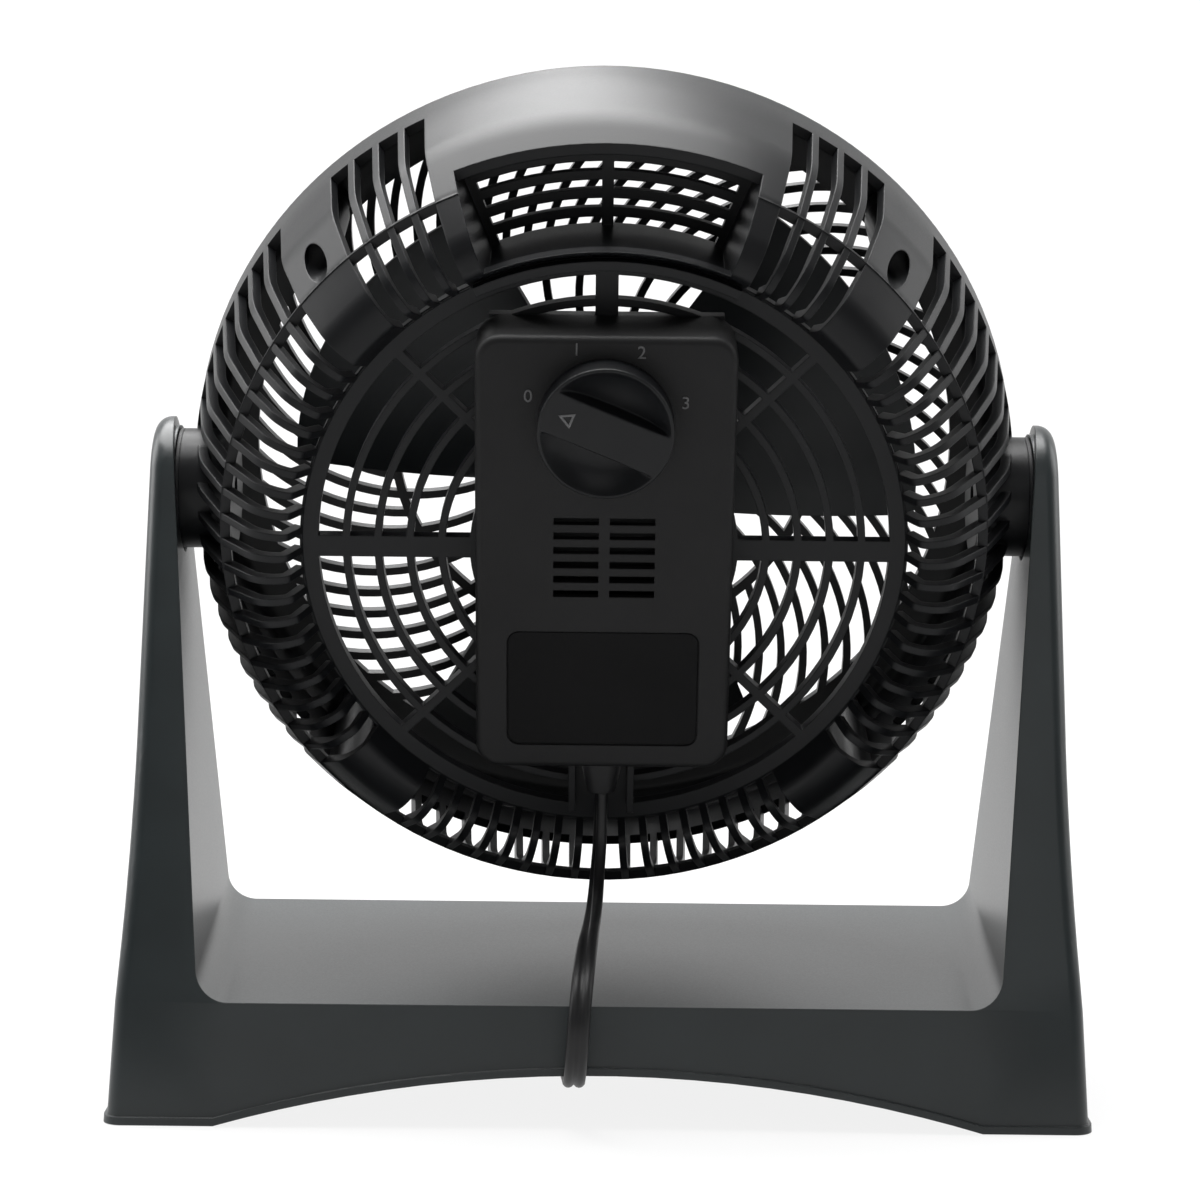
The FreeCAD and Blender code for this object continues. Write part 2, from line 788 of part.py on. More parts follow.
def rear_housing():
    """The rear moulding: slotted drum, handle with finger pocket, ring grille, screw posts, pivot bosses."""
    wall = turned(shell_section(drum_path(), drum_radii(), -housing_wall))
    cutters = []
    for first, count in slot_runs():
        for i in range(count):
            angle = first + i * slot_angle
            cutters.append(slot_cutter(angle, ring_outer + slot_margin, rim_radius + cut_over,
                                       housing_rear - cut_over, band_rear))
    ring_radius = rim_radius - crease_drop - mid_ring_inset
    ring_rear = AXIS * (crease_place - mid_ring_width / 2)
    mid_ring = tube(ring_radius, ring_radius - housing_wall, ring_rear, mid_ring_width, AXIS)
    opening = sector(lip_radius, rim_radius + cut_over, housing_rear - cut_over, handle_rear,
                     90.0 - pocket_half_angle, 2 * pocket_half_angle)
    wall = wall.cut(cutters).fuse(mid_ring).cut(opening)

    posts = []
    bores = []
    core = drum_core()
    for degrees in screw_angles():
        foot = polar(screw_circle, degrees)
        post_length = screw_post_front - screw_well_rear
        post = cylinder(screw_post_radius, foot + AXIS * screw_well_rear, post_length, AXIS)
        posts.append(post.common(core))
        bores.append(cylinder(screw_well_radius, foot + AXIS * housing_rear, screw_seat - housing_rear, AXIS))
        bores.append(cylinder(screw_radius + running_fit, foot, screw_post_front + cut_over, AXIS))
    for side in (-1, 1):
        outward = Vector(side, 0, 0)
        root = outward * pivot_boss_root
        posts.append(cylinder(pivot_boss_radius, root, washer_inner - pivot_boss_root, outward))
        bores.append(cylinder(pivot_bolt_radius + running_fit, root - outward, through_cut, outward))
    plate_cut = grille_depth + 2 * cut_over
    for x, z in motor_bolt_places():
        start = Vector(x, grille_rear - cut_over, z)
        bores.append(cylinder(motor_bolt_radius + running_fit, start, plate_cut, AXIS))
    for x, z in box_post_places():
        start = Vector(x, grille_rear - cut_over, z)
        bores.append(cylinder(box_screw_radius + running_fit, start, plate_cut, AXIS))
    return wall.fuse([ring_grille(), handle_pocket()] + posts).cut(bores)


def grille_screws():
    """Four screws that go in from the rear and hold the front grille."""
    screws = []
    for degrees in screw_angles():
        foot = polar(screw_circle, degrees, screw_seat)
        head = cylinder(screw_head_radius, foot - AXIS * screw_head_height, screw_head_height, AXIS)
        screws.append(head.fuse(cylinder(screw_radius, foot, screw_length, AXIS)).removeSplitter())
    return Part.makeCompound(screws)


def swirl_circle(degrees):
    """Centre of the circular arc that one swirl rib follows."""
    out = polar(swirl_start_radius, degrees)
    return out - polar(swirl_curve_radius, degrees + 90)


def swirl_point(degrees, offset, radius):
    """Where a rib side crosses a radius: the rib's arc moved by an offset, met by a circle about the axis."""
    centre = swirl_circle(degrees)
    side = swirl_curve_radius + offset
    away = centre.Length
    bearing = math.degrees(math.atan2(centre.z, centre.x))
    spread = math.acos((radius ** 2 + away ** 2 - side ** 2) / (2 * radius * away))
    return polar(radius, bearing + math.degrees(spread))


def swirl_gap(degrees, step, inner, outer):
    """The opening between two neighbouring swirl ribs and two rings."""
    half = swirl_rib_width / 2
    middle = (inner + outer) / 2
    low = [swirl_point(degrees, half, r) for r in (inner, middle, outer)]
    high = [swirl_point(degrees + step, -half, r) for r in (inner, middle, outer)]
    edges = [Part.Arc(low[0], low[1], low[2]).toShape()]
    outer_middle = (low[2] + high[2]).normalize() * outer
    edges.append(Part.Arc(low[2], outer_middle, high[2]).toShape())
    edges.append(Part.Arc(high[2], high[1], high[0]).toShape())
    inner_middle = (low[0] + high[0]).normalize() * inner
    edges.append(Part.Arc(high[0], inner_middle, low[0]).toShape())
    return Part.Face(Part.Wire(edges)).extrude(AXIS * (2 * front_crown))


def front_grille():
    """The domed front grille: skirt, swirl ribs on two rings, plain hub and four screw posts."""
    skirt = [
        Vector(rim_radius, rim_front, 0),
        Vector(rim_radius - front_edge_lean, front_face - front_edge_drop, 0),
        Vector(front_open_radius, front_face, 0),
    ]

    def dome_arc(edge, rise):
        bow = (edge.x ** 2 + rise ** 2) / (2 * rise)
        mid_x = edge.x / 2
        mid_y = edge.y + rise - (bow - math.sqrt(bow ** 2 - mid_x ** 2))
        return Part.Arc(edge, Vector(mid_x, mid_y, 0), Vector(0, edge.y + rise, 0)).toShape()

    rise = front_crown - front_face
    inner = offset_path(skirt, front_shell)
    inner[0] = square_end(inner[0], inner[1], rim_front)
    edges = rounded_path(skirt, [front_skirt_round])
    edges.append(dome_arc(skirt[-1], rise))
    crown = [Vector(0, path[-1].y + rise, 0) for path in (skirt, inner)]
    edges.append(Part.LineSegment(crown[0], crown[1]).toShape())
    edges.append(dome_arc(inner[-1], rise))
    edges += rounded_path(inner, [front_skirt_round - front_shell])
    edges.append(Part.LineSegment(inner[0], skirt[0]).toShape())
    dome = turned(Part.Face(Part.Wire(Part.__sortEdges__(edges))))

    half_ring = front_ring_width / 2
    gaps = []
    for count, inner_radius, outer_radius in (
        (swirl_ribs_inner, front_hub_radius, front_ring_radius - half_ring),
        (2 * swirl_ribs_inner, front_ring_radius + half_ring, front_open_radius),
    ):
        step = 360.0 / count
        gaps += [swirl_gap(i * step, step, inner_radius, outer_radius) for i in range(count)]
    dome = dome.cut(gaps)
    posts = []
    bores = []
    for degrees in screw_angles():
        foot = polar(screw_circle, degrees, screw_post_front)
        posts.append(cylinder(front_post_radius, foot, front_face - front_post_drop - screw_post_front, AXIS))
        bore_length = screw_length - screw_post_front + 2 * cut_over
        bores.append(cylinder(screw_radius + running_fit, foot - AXIS * cut_over, bore_length, AXIS))
    return dome.fuse(posts).cut(bores)


def rounded_rectangle(half_width, bottom, top, corner, place):
    """A face across the head axis with rounded corners."""
    middle = Vector(0, place, bottom)
    points = [
        middle,
        Vector(half_width, place, bottom),
        Vector(half_width, place, top),
        Vector(-half_width, place, top),
        Vector(-half_width, place, bottom),
        middle,
    ]
    return Part.Face(Part.Wire(rounded_path(points, [corner] * 4)))


def box_post_places():
    """The four screw posts inside the control box."""
    x = box_half_width - box_post_inset
    heights = (box_bottom + box_post_inset, box_top - box_post_inset)
    return [(side * x, z) for side in (-1, 1) for z in heights]


def control_box():
    """The control box cover: rounded shell, knob seat, cooling vents, bare label recess, screw posts."""
    depth = grille_rear - box_rear
    outer = rounded_rectangle(box_half_width, box_bottom, box_top, box_corner, box_rear).extrude(AXIS * depth)
    rear_edges = [e for e in outer.Edges if e.BoundBox.YMax < box_rear + edge_find]
    outer = outer.makeFillet(box_edge_round, rear_edges)
    hollow = rounded_rectangle(box_half_width - box_wall, box_bottom + box_wall, box_top - box_wall,
                               box_corner - box_wall, box_rear + box_wall)
    cuts = [hollow.extrude(AXIS * depth)]
    for row in range(vent_rows):
        high = vent_top - row * vent_pitch
        for x0, x1 in ((-vent_outer, -vent_inner), (vent_inner, vent_outer)):
            cuts.append(block(x0, x1, box_rear - cut_over, box_rear + box_wall + cut_over,
                              high - vent_height, high))
    label_low = label_centre - label_height / 2
    label = rounded_rectangle(label_half_width, label_low, label_low + label_height, label_corner, box_rear)
    cuts.append(label.extrude(AXIS * label_depth))
    shaft_start = Vector(0, box_rear - cut_over, knob_place)
    cuts.append(cylinder(switch_thread_radius + running_fit, shaft_start, box_wall + 2 * cut_over, AXIS))
    relief_top = Vector(0, relief_place, box_bottom - cut_over)
    cuts.append(cylinder(relief_end_half_width, relief_top, box_wall + 2 * cut_over, Vector(0, 0, 1)))
    shell = outer.cut(cuts)
    posts = []
    bores = []
    for x, z in box_post_places():
        start = Vector(x, box_rear + box_wall / 2, z)
        posts.append(cylinder(box_post_radius, start, grille_rear - start.y, AXIS))
        bore_start = Vector(x, box_rear + 2 * box_wall, z)
        bores.append(cylinder(box_screw_radius + running_fit, bore_start, depth, AXIS))
    return shell.fuse(posts).cut(bores).removeSplitter()


def box_screws():
    """Four screws from inside the housing into the posts of the control box."""
    screws = []
    for x, z in box_post_places():
        seat_point = Vector(x, grille_front, z)
        head = cylinder(box_screw_head_radius, seat_point, box_screw_head_height, AXIS)
        shank = cylinder(box_screw_radius, seat_point, box_screw_length, Vector(0, -1, 0))
        screws.append(head.fuse(shank).removeSplitter())
    return Part.makeCompound(screws)


def rotary_switch():
    """The speed switch behind the knob with its threaded neck and three terminals."""
    inner_face = box_rear + box_wall
    body = block(-switch_half_width, switch_half_width, inner_face, inner_face + switch_depth,
                 knob_place - switch_half_width, knob_place + switch_half_width)
    neck = cylinder(switch_thread_radius, Vector(0, box_rear - switch_nut_height, knob_place),
                    box_wall + switch_nut_height + cut_over, AXIS)
    rear = inner_face + switch_depth
    low = knob_place - terminal_drop
    tabs = []
    for x in (-terminal_spacing, 0.0, terminal_spacing):
        tabs.append(block(x - terminal_half_width, x + terminal_half_width, rear - cut_over,
                          rear + terminal_length, low, low + terminal_thickness))
    bore_start = Vector(0, knob_rear, knob_place)
    bore_length = inner_face + switch_depth - switch_shaft_gap + free_gap - knob_rear
    bore = cylinder(switch_shaft_radius + running_fit, bore_start, bore_length, AXIS)
    return body.fuse([neck] + tabs).cut(bore).removeSplitter()


def switch_nut():
    """The six-sided nut that clamps the switch to the box."""
    points = [polar(switch_nut_radius, 60 * i, box_rear - switch_nut_height) for i in range(6)]
    nut = polygon_face(points).extrude(AXIS * switch_nut_height)
    nut.translate(Vector(0, 0, knob_place))
    start = Vector(0, knob_rear, knob_place)
    return nut.cut(cylinder(switch_thread_radius + running_fit, start, through_cut, AXIS))


def switch_shaft():
    """The turning shaft of the switch, which carries the knob."""
    start = Vector(0, knob_rear + switch_shaft_cap, knob_place)
    end = box_rear + box_wall + switch_depth - switch_shaft_gap
    return cylinder(switch_shaft_radius, start, end - start.y, AXIS)


def speed_knob():
    """The speed knob: skirt with a ring groove, two dished sides that leave a grip bar, and a pointer."""
    front = box_rear - free_gap
    height = front - knob_rear
    rear_point = Vector(0, knob_rear, 0)
    body = cylinder(knob_radius, rear_point, height, AXIS)
    rim = [e for e in body.Edges if e.BoundBox.YMax < knob_rear + edge_find]
    body = body.makeFillet(knob_edge_round, rim)
    groove_outer = knob_radius - knob_rim_width
    groove = tube(groove_outer, groove_outer - knob_groove_width, rear_point, knob_groove_depth, AXIS)
    dish = cylinder(knob_dish_radius, rear_point, knob_dish_depth, AXIS)
    half_grip = knob_grip_width / 2
    dish = dish.cut(block(-knob_radius, knob_radius, knob_rear, front, -half_grip, half_grip))
    under_start = Vector(0, box_rear - switch_nut_height - cut_over, 0)
    under = cylinder(switch_nut_radius + switch_nut_room, under_start, height, AXIS)
    bore = cylinder(switch_shaft_radius + running_fit, Vector(0, knob_rear + knob_cap, 0), height, AXIS)
    tip = groove_outer - knob_groove_width - pointer_gap
    pointer = polygon_face([
        Vector(tip, knob_rear - pointer_rise, 0),
        Vector(tip - pointer_length, knob_rear - pointer_rise, pointer_half_width),
        Vector(tip - pointer_length, knob_rear - pointer_rise, -pointer_half_width),
    ]).extrude(AXIS * pointer_depth)
    knob = body.cut([groove, dish, under, bore]).fuse(pointer)
    knob.rotate(ORIGIN, AXIS, -knob_rest_angle)
    knob.translate(Vector(0, 0, knob_place))
    return knob


def motor_bolt_places():
    """The four motor bolts around the stator."""
    reach = motor_bolt_circle * math.sin(math.radians(45))
    return [(sx * reach, sz * reach) for sx in (-1, 1) for sz in (-1, 1)]


def end_bell(closed_face, open_face):
    """One end bell of the motor: a cup with a bearing hub and four lugs for the bolts."""
    inward = 1 if open_face > closed_face else -1
    direction = AXIS * inward
    start = AXIS * closed_face
    depth = abs(open_face - closed_face)
    cup = cylinder(motor_radius, start, depth, direction)
    cup = cup.cut(cylinder(motor_radius - bell_wall, start + direction * bell_wall, depth, direction))
    pieces = [cylinder(bushing_radius + bell_wall, start, bushing_length, direction)]
    holes = [cylinder(bushing_radius + running_fit, start, depth, direction)]
    for x, z in motor_bolt_places():
        lug = cylinder(motor_lug_radius, start + Vector(x, 0, z), depth, direction)
        pieces.append(lug.cut(cylinder(motor_radius - bell_wall, start, depth, direction)))
        holes.append(cylinder(motor_bolt_radius + running_fit, start + Vector(x, 0, z), depth, direction))
    return cup.fuse(pieces).cut(holes).removeSplitter()


def motor_pieces():
    """The fixed pieces of the motor."""
    rear_bell = end_bell(grille_front, bell_rear_front)
    front_bell = end_bell(motor_front, stator_front)
    core = tube(motor_radius, stator_bore, AXIS * bell_rear_front, stator_depth, AXIS)
    windings = []
    for start in (bell_rear_front - winding_height, stator_front):
        windings.append(tube(winding_outer, winding_inner, AXIS * start, winding_height, AXIS))
    bushings = []
    for start in (grille_front, motor_front - bushing_length):
        bushings.append(tube(bushing_radius, shaft_radius + running_fit, AXIS * start, bushing_length, AXIS))
    bolts = []
    for x, z in motor_bolt_places():
        foot = Vector(x, grille_rear, z)
        shank = cylinder(motor_bolt_radius, foot, motor_front - grille_rear, AXIS)
        head = cylinder(2 * motor_bolt_radius, Vector(x, motor_front, z), motor_bolt_head_height, AXIS)
        bolts.append(shank.fuse(head).removeSplitter())
    groups = [Part.makeCompound(group) for group in (windings, bushings, bolts)]
    return [rear_bell, front_bell, core] + groups


def turning_pieces():
    """Rotor, shaft and blade nut, which turn with the blade."""
    rotor = tube(rotor_radius, shaft_radius + running_fit, AXIS * (bell_rear_front + rotor_gap),
                 stator_depth - 2 * rotor_gap, AXIS)
    shaft_start = grille_front + shaft_end_gap
    shaft_end = blade_front + blade_nut_height - blade_nut_cap - shaft_end_gap
    shaft = cylinder(shaft_radius, AXIS * shaft_start, shaft_end - shaft_start, AXIS)
    nut = cylinder(blade_nut_radius, AXIS * blade_front, blade_nut_height, AXIS)
    nut_front = blade_front + blade_nut_height
    nut = nut.makeFillet(blade_nut_round, [e for e in nut.Edges if e.BoundBox.YMin > nut_front - edge_find])
    bore_length = blade_nut_height - blade_nut_cap
    nut = nut.cut(cylinder(shaft_radius + running_fit, AXIS * blade_front, bore_length, AXIS))
    return rotor, shaft, nut


def blade_section(distance, chord, rear, front):
    """A thin section of a blade, bowed towards the rear, square to the blade's middle line."""
    start = Vector(chord / 2, rear, distance)
    end = Vector(-chord / 2, front, distance)
    run = (end - start).normalize()
    back = Vector(-run.y, run.x, 0)
    half = back * (blade_thickness / 2)
    middle = (start + end) * 0.5 + back * blade_camber
    edges = [Part.Arc(start + half, middle + half, end + half).toShape()]
    edges.append(Part.LineSegment(end + half, end - half).toShape())
    edges.append(Part.Arc(end - half, middle - half, start - half).toShape())
    edges.append(Part.LineSegment(start - half, start + half).toShape())
    return Part.Wire(edges)


def fan_blade():
    """The three-bladed fan: hub cup and wide bowed blades trimmed to a round tip."""
    front = blade_front - blade_thickness
    root_place = blade_hub_radius - blade_root_depth
    root = blade_section(root_place, blade_root_chord, blade_rear + blade_root_lift, front)
    middle_chord = (blade_root_chord + blade_tip_chord) * blade_middle_share
    middle_place = blade_hub_radius + blade_middle_reach
    middle = blade_section(middle_place, middle_chord, blade_rear + blade_lift, front)
    tip = blade_section(blade_tip_radius + blade_over, blade_tip_chord, blade_rear + blade_lift, front)
    blank = Part.makeLoft([root, middle, tip], True)
    margin = blade_thickness + blade_camber
    length = blade_hub_depth + 2 * margin
    trim_start = AXIS * (blade_rear - margin)
    trim = cylinder(blade_tip_radius, trim_start, length, AXIS)
    trim = trim.cut(cylinder(blade_hub_radius - blade_hub_wall / 2, trim_start, length, AXIS))
    blade = blank.common(trim)
    hub = cylinder(blade_hub_radius, AXIS * blade_rear, blade_hub_depth, AXIS)
    hollow = tube(blade_hub_radius - blade_hub_wall, blade_nut_radius, AXIS * blade_rear,
                  blade_hub_depth - blade_hub_wall, AXIS)
    hub = hub.cut([hollow, cylinder(shaft_radius + running_fit, trim_start, length, AXIS)])
    blades = []
    for i in range(blade_count):
        turned_blade = blade.copy()
        turned_blade.rotate(ORIGIN, AXIS, blade_rest_angle + 360.0 / blade_count * i)
        blades.append(turned_blade)
    return hub.fuse(blades).removeSplitter()


def strain_relief():
    """The tapered sleeve through the bottom wall of the control box."""
    def oblong(half_width, half_depth, height):
        points = [Vector(0, relief_place - half_depth, height)]
        for x, y in ((1, -1), (1, 1), (-1, 1), (-1, -1)):
            points.append(Vector(x * half_width, relief_place + y * half_depth, height))
        points.append(points[0])
        return Part.Wire(rounded_path(points, [half_depth * relief_corner_share] * 4))

    top = oblong(relief_half_width, relief_half_depth, box_bottom - edge_find)
    end = oblong(relief_end_half_width, relief_end_half_width, box_bottom - relief_length)
    sleeve = Part.makeLoft([top, end], True)
    neck_start = Vector(0, relief_place, box_bottom - cut_over)
    neck_length = relief_inside + cut_over
    neck = cylinder(relief_end_half_width - running_fit, neck_start, neck_length, Vector(0, 0, 1))
    return sleeve.fuse(neck).removeSplitter()


def head_point(x, place, height):
    """A point of the head at rest, in the frame of the whole fan."""
    return Vector(
        x,
        pivot_y + place * math.cos(tilt) - height * math.sin(tilt),
        pivot_height + place * math.sin(tilt) + height * math.cos(tilt),
    )


def bow_point(first, way, last):
    """Middle point of the arc that leaves a point in a given direction and ends at another point."""
    along = (last - first).normalize()
    half_chord = (last - first).Length / 2
    rise = (way - along * way.dot(along)).normalize()
    return (first + last) * 0.5 + rise * (math.tan(way.getAngle(along) / 2) * half_chord)


def biarc(start, start_way, end, end_way):
    """Two arcs that join two points with given directions."""
    gap = end - start
    spread = 2 * (1 - start_way.dot(end_way))
    slope = gap.dot(start_way + end_way)
    reach = (math.sqrt(slope ** 2 + spread * gap.dot(gap)) - slope) / spread
    join = (start + end + (start_way - end_way) * reach) * 0.5
    first = Part.Arc(start, bow_point(start, start_way, join), join)
    second = Part.Arc(join, bow_point(end, end_way * -1, join), end)
    return [first.toShape(), second.toShape()]


def round_cord(edges, start, way):
    """A cord of round section along joined edges."""
    ring = Part.Wire(Part.makeCircle(cord_radius, start, way))
    return Part.Wire(edges).makePipeShell([ring], True, False)


def cord_route():
    """The cord from the strain relief over the rear edge of the base, under the arch and to the coil."""
    start = head_point(0, relief_place, box_bottom - relief_length)
    second = start + Vector(0, math.sin(tilt), -math.cos(tilt)) * cord_first_run
    lie = coil_low()
    by_hand = [
        (-1.6, -33.4, 72.0),
        (-3.0, -45.2, 63.0),
        (-4.2, -60.0, 59.0),
        (-5.4, -75.6, 57.0),
        (-6.6, -90.4, 51.0),
        (-7.6, -100.4, 39.0),
        (-8.6, -101.6, 24.0),
        (-9.4, -93.4, 11.6),
        (-9.8, -80.0, lie + 0.8),
        (-10.3, -64.0, lie),
        (-10.9, -44.0, lie),
        (-10.8, -22.0, lie),
    ]
    coil_entry = coil_point(0) - Vector(0, 2 * cord_radius, 0)
    points = [start, second] + [Vector(x, y + pivot_y, z) for x, y, z in by_hand]
    points += [coil_entry - Vector(0, coil_entry_run, 0), coil_entry]
    return points


def cord_stretch():
    """The free stretch of the cord: straight runs joined by tangent arcs as large as the runs allow."""
    points = cord_route()
    radii = []
    for before, here, after in zip(points, points[1:], points[2:]):
        run = min((here - before).Length, (after - here).Length)
        turn = (here - before).getAngle(after - here)
        radii.append(cord_corner_share * run / math.tan(turn / 2))
    edges = rounded_path(points, radii)
    length = sum(e.Length for e in edges)
    cord = round_cord(edges, points[0], points[1] - points[0])
    section = math.pi * cord_radius ** 2
    print("cord stretch length", round(length, 1), "radii", [round(r, 1) for r in radii])
    print("cord stretch volume over section times length", round(cord.Volume / (section * length), 4))
    return cord


def coil_low():
    """Height of the middle of the cord in the lower layer of the coil."""
    return tie_floor_gap + tie_wall + tie_gap + cord_radius


def coil_state(turns):
    """Radius and height of the coil after a number of turns: in, a climbing half turn, and out again."""
    inner = coil_outer_radius - coil_turn_pitch * coil_turns_per_layer
    if turns <= coil_turns_per_layer:
        return coil_outer_radius - coil_turn_pitch * turns, coil_low()
    share = (turns - coil_turns_per_layer) / coil_climb_turns
    if share < 1:
        lift = coil_layer_pitch * share ** 2 * (3 - 2 * share)
        return inner - coil_turn_pitch * coil_climb_turns * (share - share ** 2), coil_low() + lift
    outward = turns - coil_turns_per_layer - coil_climb_turns
    return inner + coil_turn_pitch * outward, coil_low() + coil_layer_pitch


def coil_point(turns):
    """A point of the coil, which starts at its left and turns clockwise seen from above."""
    radius, height = coil_state(turns)
    angle = math.pi - 2 * math.pi * turns
    middle = Vector(coil_centre_x, pivot_y + coil_centre_y, height)
    return middle + Vector(radius * math.cos(angle), radius * math.sin(angle), 0)


def coil_way(turns):
    """Direction of the coil at a point."""
    step = 1e-5
    return (coil_point(turns + step) - coil_point(turns - step)).normalize()


def coil_end():
    """Turns in the whole coil."""
    return 2 * coil_turns_per_layer + coil_climb_turns


def cord_coil():
    """The rest of the cord, wound in two layers, with a straight end towards each neighbour."""
    steps = int(round(4 * coil_end()))
    turns = [coil_end() * i / steps for i in range(steps + 1)]
    forward = Vector(0, 1, 0)
    ways = [forward] + [coil_way(t) for t in turns[1:-1]] + [forward * -1]
    places = [coil_point(t) for t in turns]
    lead = forward * (2 * cord_radius)
    edges = [Part.LineSegment(places[0] - lead, places[0]).toShape()]
    for i in range(steps):
        edges += biarc(places[i], ways[i], places[i + 1], ways[i + 1])
    edges.append(Part.LineSegment(places[-1], places[-1] - lead).toShape())
    length = sum(e.Length for e in edges)
    cord = round_cord(edges, places[0] - lead, forward)
    print("cord coil length", round(length, 1), "least gap to itself", round(coil_gap(edges), 2))
    section = math.pi * cord_radius ** 2
    print("cord coil volume over section times length", round(cord.Volume / (section * length), 4))
    return cord


def coil_gap(edges):
    """Least distance between neighbouring turns of the coil, measured on points along it."""
    spacing = 2.0
    points = []
    for edge in edges:
        points += edge.discretize(Distance=spacing)[:-1]
    least = coil_outer_radius
    apart = int(coil_outer_radius / spacing)
    for i, p in enumerate(points):
        for q in points[i + apart:]:
            least = min(least, (p - q).Length)
    return least - 2 * cord_radius


def cord_tie():
    """The flat tie round all the turns at the front of the coil."""
    inner = coil_outer_radius - coil_turn_pitch * coil_turns_per_layer
    near = pivot_y + coil_centre_y + inner - cord_radius - tie_gap
    far = pivot_y + coil_centre_y + coil_outer_radius + cord_radius + tie_gap
    low = tie_floor_gap + tie_wall
    high = coil_low() + coil_layer_pitch + cord_radius + tie_gap
    left = coil_centre_x - tie_width / 2
    right = coil_centre_x + tie_width / 2
    outer = block(left, right, near - tie_wall, far + tie_wall, low - tie_wall, high + tie_wall)
    return outer.cut(block(left, right, near, far, low, high))


def plug_place():
    """Where the cord enters the plug."""
    return coil_point(coil_end()) - Vector(0, 2 * cord_radius, 0)


def plug_body():
    """The two-pin plug: a tapered neck and a rounded body."""
    place = plug_place()

    def oblong(half_width, half_height, back):
        low = place.z - half_height
        corner = half_height * plug_corner_share
        face = rounded_rectangle(half_width, low, low + 2 * half_height, corner, place.y - back)
        face.translate(Vector(place.x, 0, 0))
        return face.OuterWire

    neck_half = cord_radius + plug_neck_wall
    waist_half = cord_radius + plug_waist_wall
    neck = oblong(neck_half, neck_half, 0)
    waist = oblong(waist_half, waist_half, plug_neck_length)
    shoulder = oblong(plug_half_width, plug_half_height, plug_neck_length + plug_shoulder_length)
    face = oblong(plug_half_width, plug_half_height, plug_neck_length + plug_length)
    body = Part.makeLoft([neck, waist, shoulder, face], True, True)
    return body.cut(plug_blade_boxes())


def plug_blade_boxes():
    """The two flat blades, with their roots inside the plug."""
    place = plug_place()
    front = place.y - plug_neck_length - plug_length
    blades = []
    for side in (-1, 1):
        x = place.x + side * plug_blade_spacing / 2
        blades.append(block(x - plug_blade_thickness / 2, x + plug_blade_thickness / 2,
                            front - plug_blade_length, front + plug_blade_root,
                            place.z - plug_blade_width / 2, place.z + plug_blade_width / 2))
    return blades


PIECES = {
    "stand": stand(),
    "rubber_feet": rubber_feet(),
    "rear_housing": seat(rear_housing()),
    "front_grille": seat(front_grille()),
    "grille_screws": seat(grille_screws()),
    "control_box": seat(control_box()),
    "box_screws": seat(box_screws()),
    "rotary_switch": seat(rotary_switch()),
    "switch_nut": seat(switch_nut()),
    "switch_shaft": seat(switch_shaft()),
    "speed_knob": seat(speed_knob()),
    "fan_blade": seat(fan_blade()),
    "strain_relief": seat(strain_relief()),
    "cord_stretch": cord_stretch(),
    "cord_coil": cord_coil(),
    "cord_tie": cord_tie(),
    "plug_body": plug_body(),
    "plug_blades": Part.makeCompound(plug_blade_boxes()),
}
bolts, washers, caps = pivot_pieces()
PIECES["pivot_bolts"] = seat(bolts)
PIECES["pivot_washers"] = seat(washers)
PIECES["pivot_caps"] = caps
motor_names = ["motor_rear_bell", "motor_front_bell", "stator_core"]
motor_names += ["motor_windings", "motor_bushings", "motor_bolts"]
for name, shape in zip(motor_names, motor_pieces()):
    PIECES[name] = seat(shape)
for name, shape in zip(("rotor", "motor_shaft", "blade_nut"), turning_pieces()):
    PIECES[name] = seat(shape)

os.makedirs("parts", exist_ok=True)
for name, shape in PIECES.items():
    shape.exportStep(f"parts/{name}.step")
    print(name, "solids", len(shape.Solids), "valid", shape.isValid(), "volume", round(shape.Volume, 1))
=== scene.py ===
import logging
import math
from dataclasses import dataclass, field
from enum import Enum

import bpy
import numpy as np
from mathutils import Matrix, Vector


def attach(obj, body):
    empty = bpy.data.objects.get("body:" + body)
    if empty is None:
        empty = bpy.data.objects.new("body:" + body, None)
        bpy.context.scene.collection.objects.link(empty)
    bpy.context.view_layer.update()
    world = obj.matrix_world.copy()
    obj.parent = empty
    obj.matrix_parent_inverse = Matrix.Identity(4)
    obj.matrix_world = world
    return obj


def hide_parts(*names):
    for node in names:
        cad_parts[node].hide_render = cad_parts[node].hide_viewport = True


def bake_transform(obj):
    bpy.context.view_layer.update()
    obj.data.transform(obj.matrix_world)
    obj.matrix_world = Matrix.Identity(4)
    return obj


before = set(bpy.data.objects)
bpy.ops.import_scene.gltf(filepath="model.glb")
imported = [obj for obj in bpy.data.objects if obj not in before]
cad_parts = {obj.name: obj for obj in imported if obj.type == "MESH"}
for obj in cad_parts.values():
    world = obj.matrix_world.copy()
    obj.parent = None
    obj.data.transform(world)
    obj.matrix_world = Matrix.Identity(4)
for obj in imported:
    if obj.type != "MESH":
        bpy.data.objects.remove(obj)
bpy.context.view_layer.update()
LOG = logging.getLogger("fan")

# The head's lean at rest, and the point that it turns about, in metres.
TILT = math.radians(17.35)
PIVOT = np.array([0.0, 0.00579, 0.1914])
# The rear face of the control box and the middle of the knob, in the head's own frame.
BOX_FACE = -0.0708
KNOB_MIDDLE = 0.0495
# Edges that turn by more degrees than this stay sharp.
SHARP_ANGLE = 32.0
# Points that agree to a step become one: steps in a metre, on new surfaces and on copies of CAD nodes.
GRID_STEPS = 1e7
SKIN_STEPS = 1e6
MM_IN_METRE = 1000
WHITE = (1.0, 1.0, 1.0, 1.0)


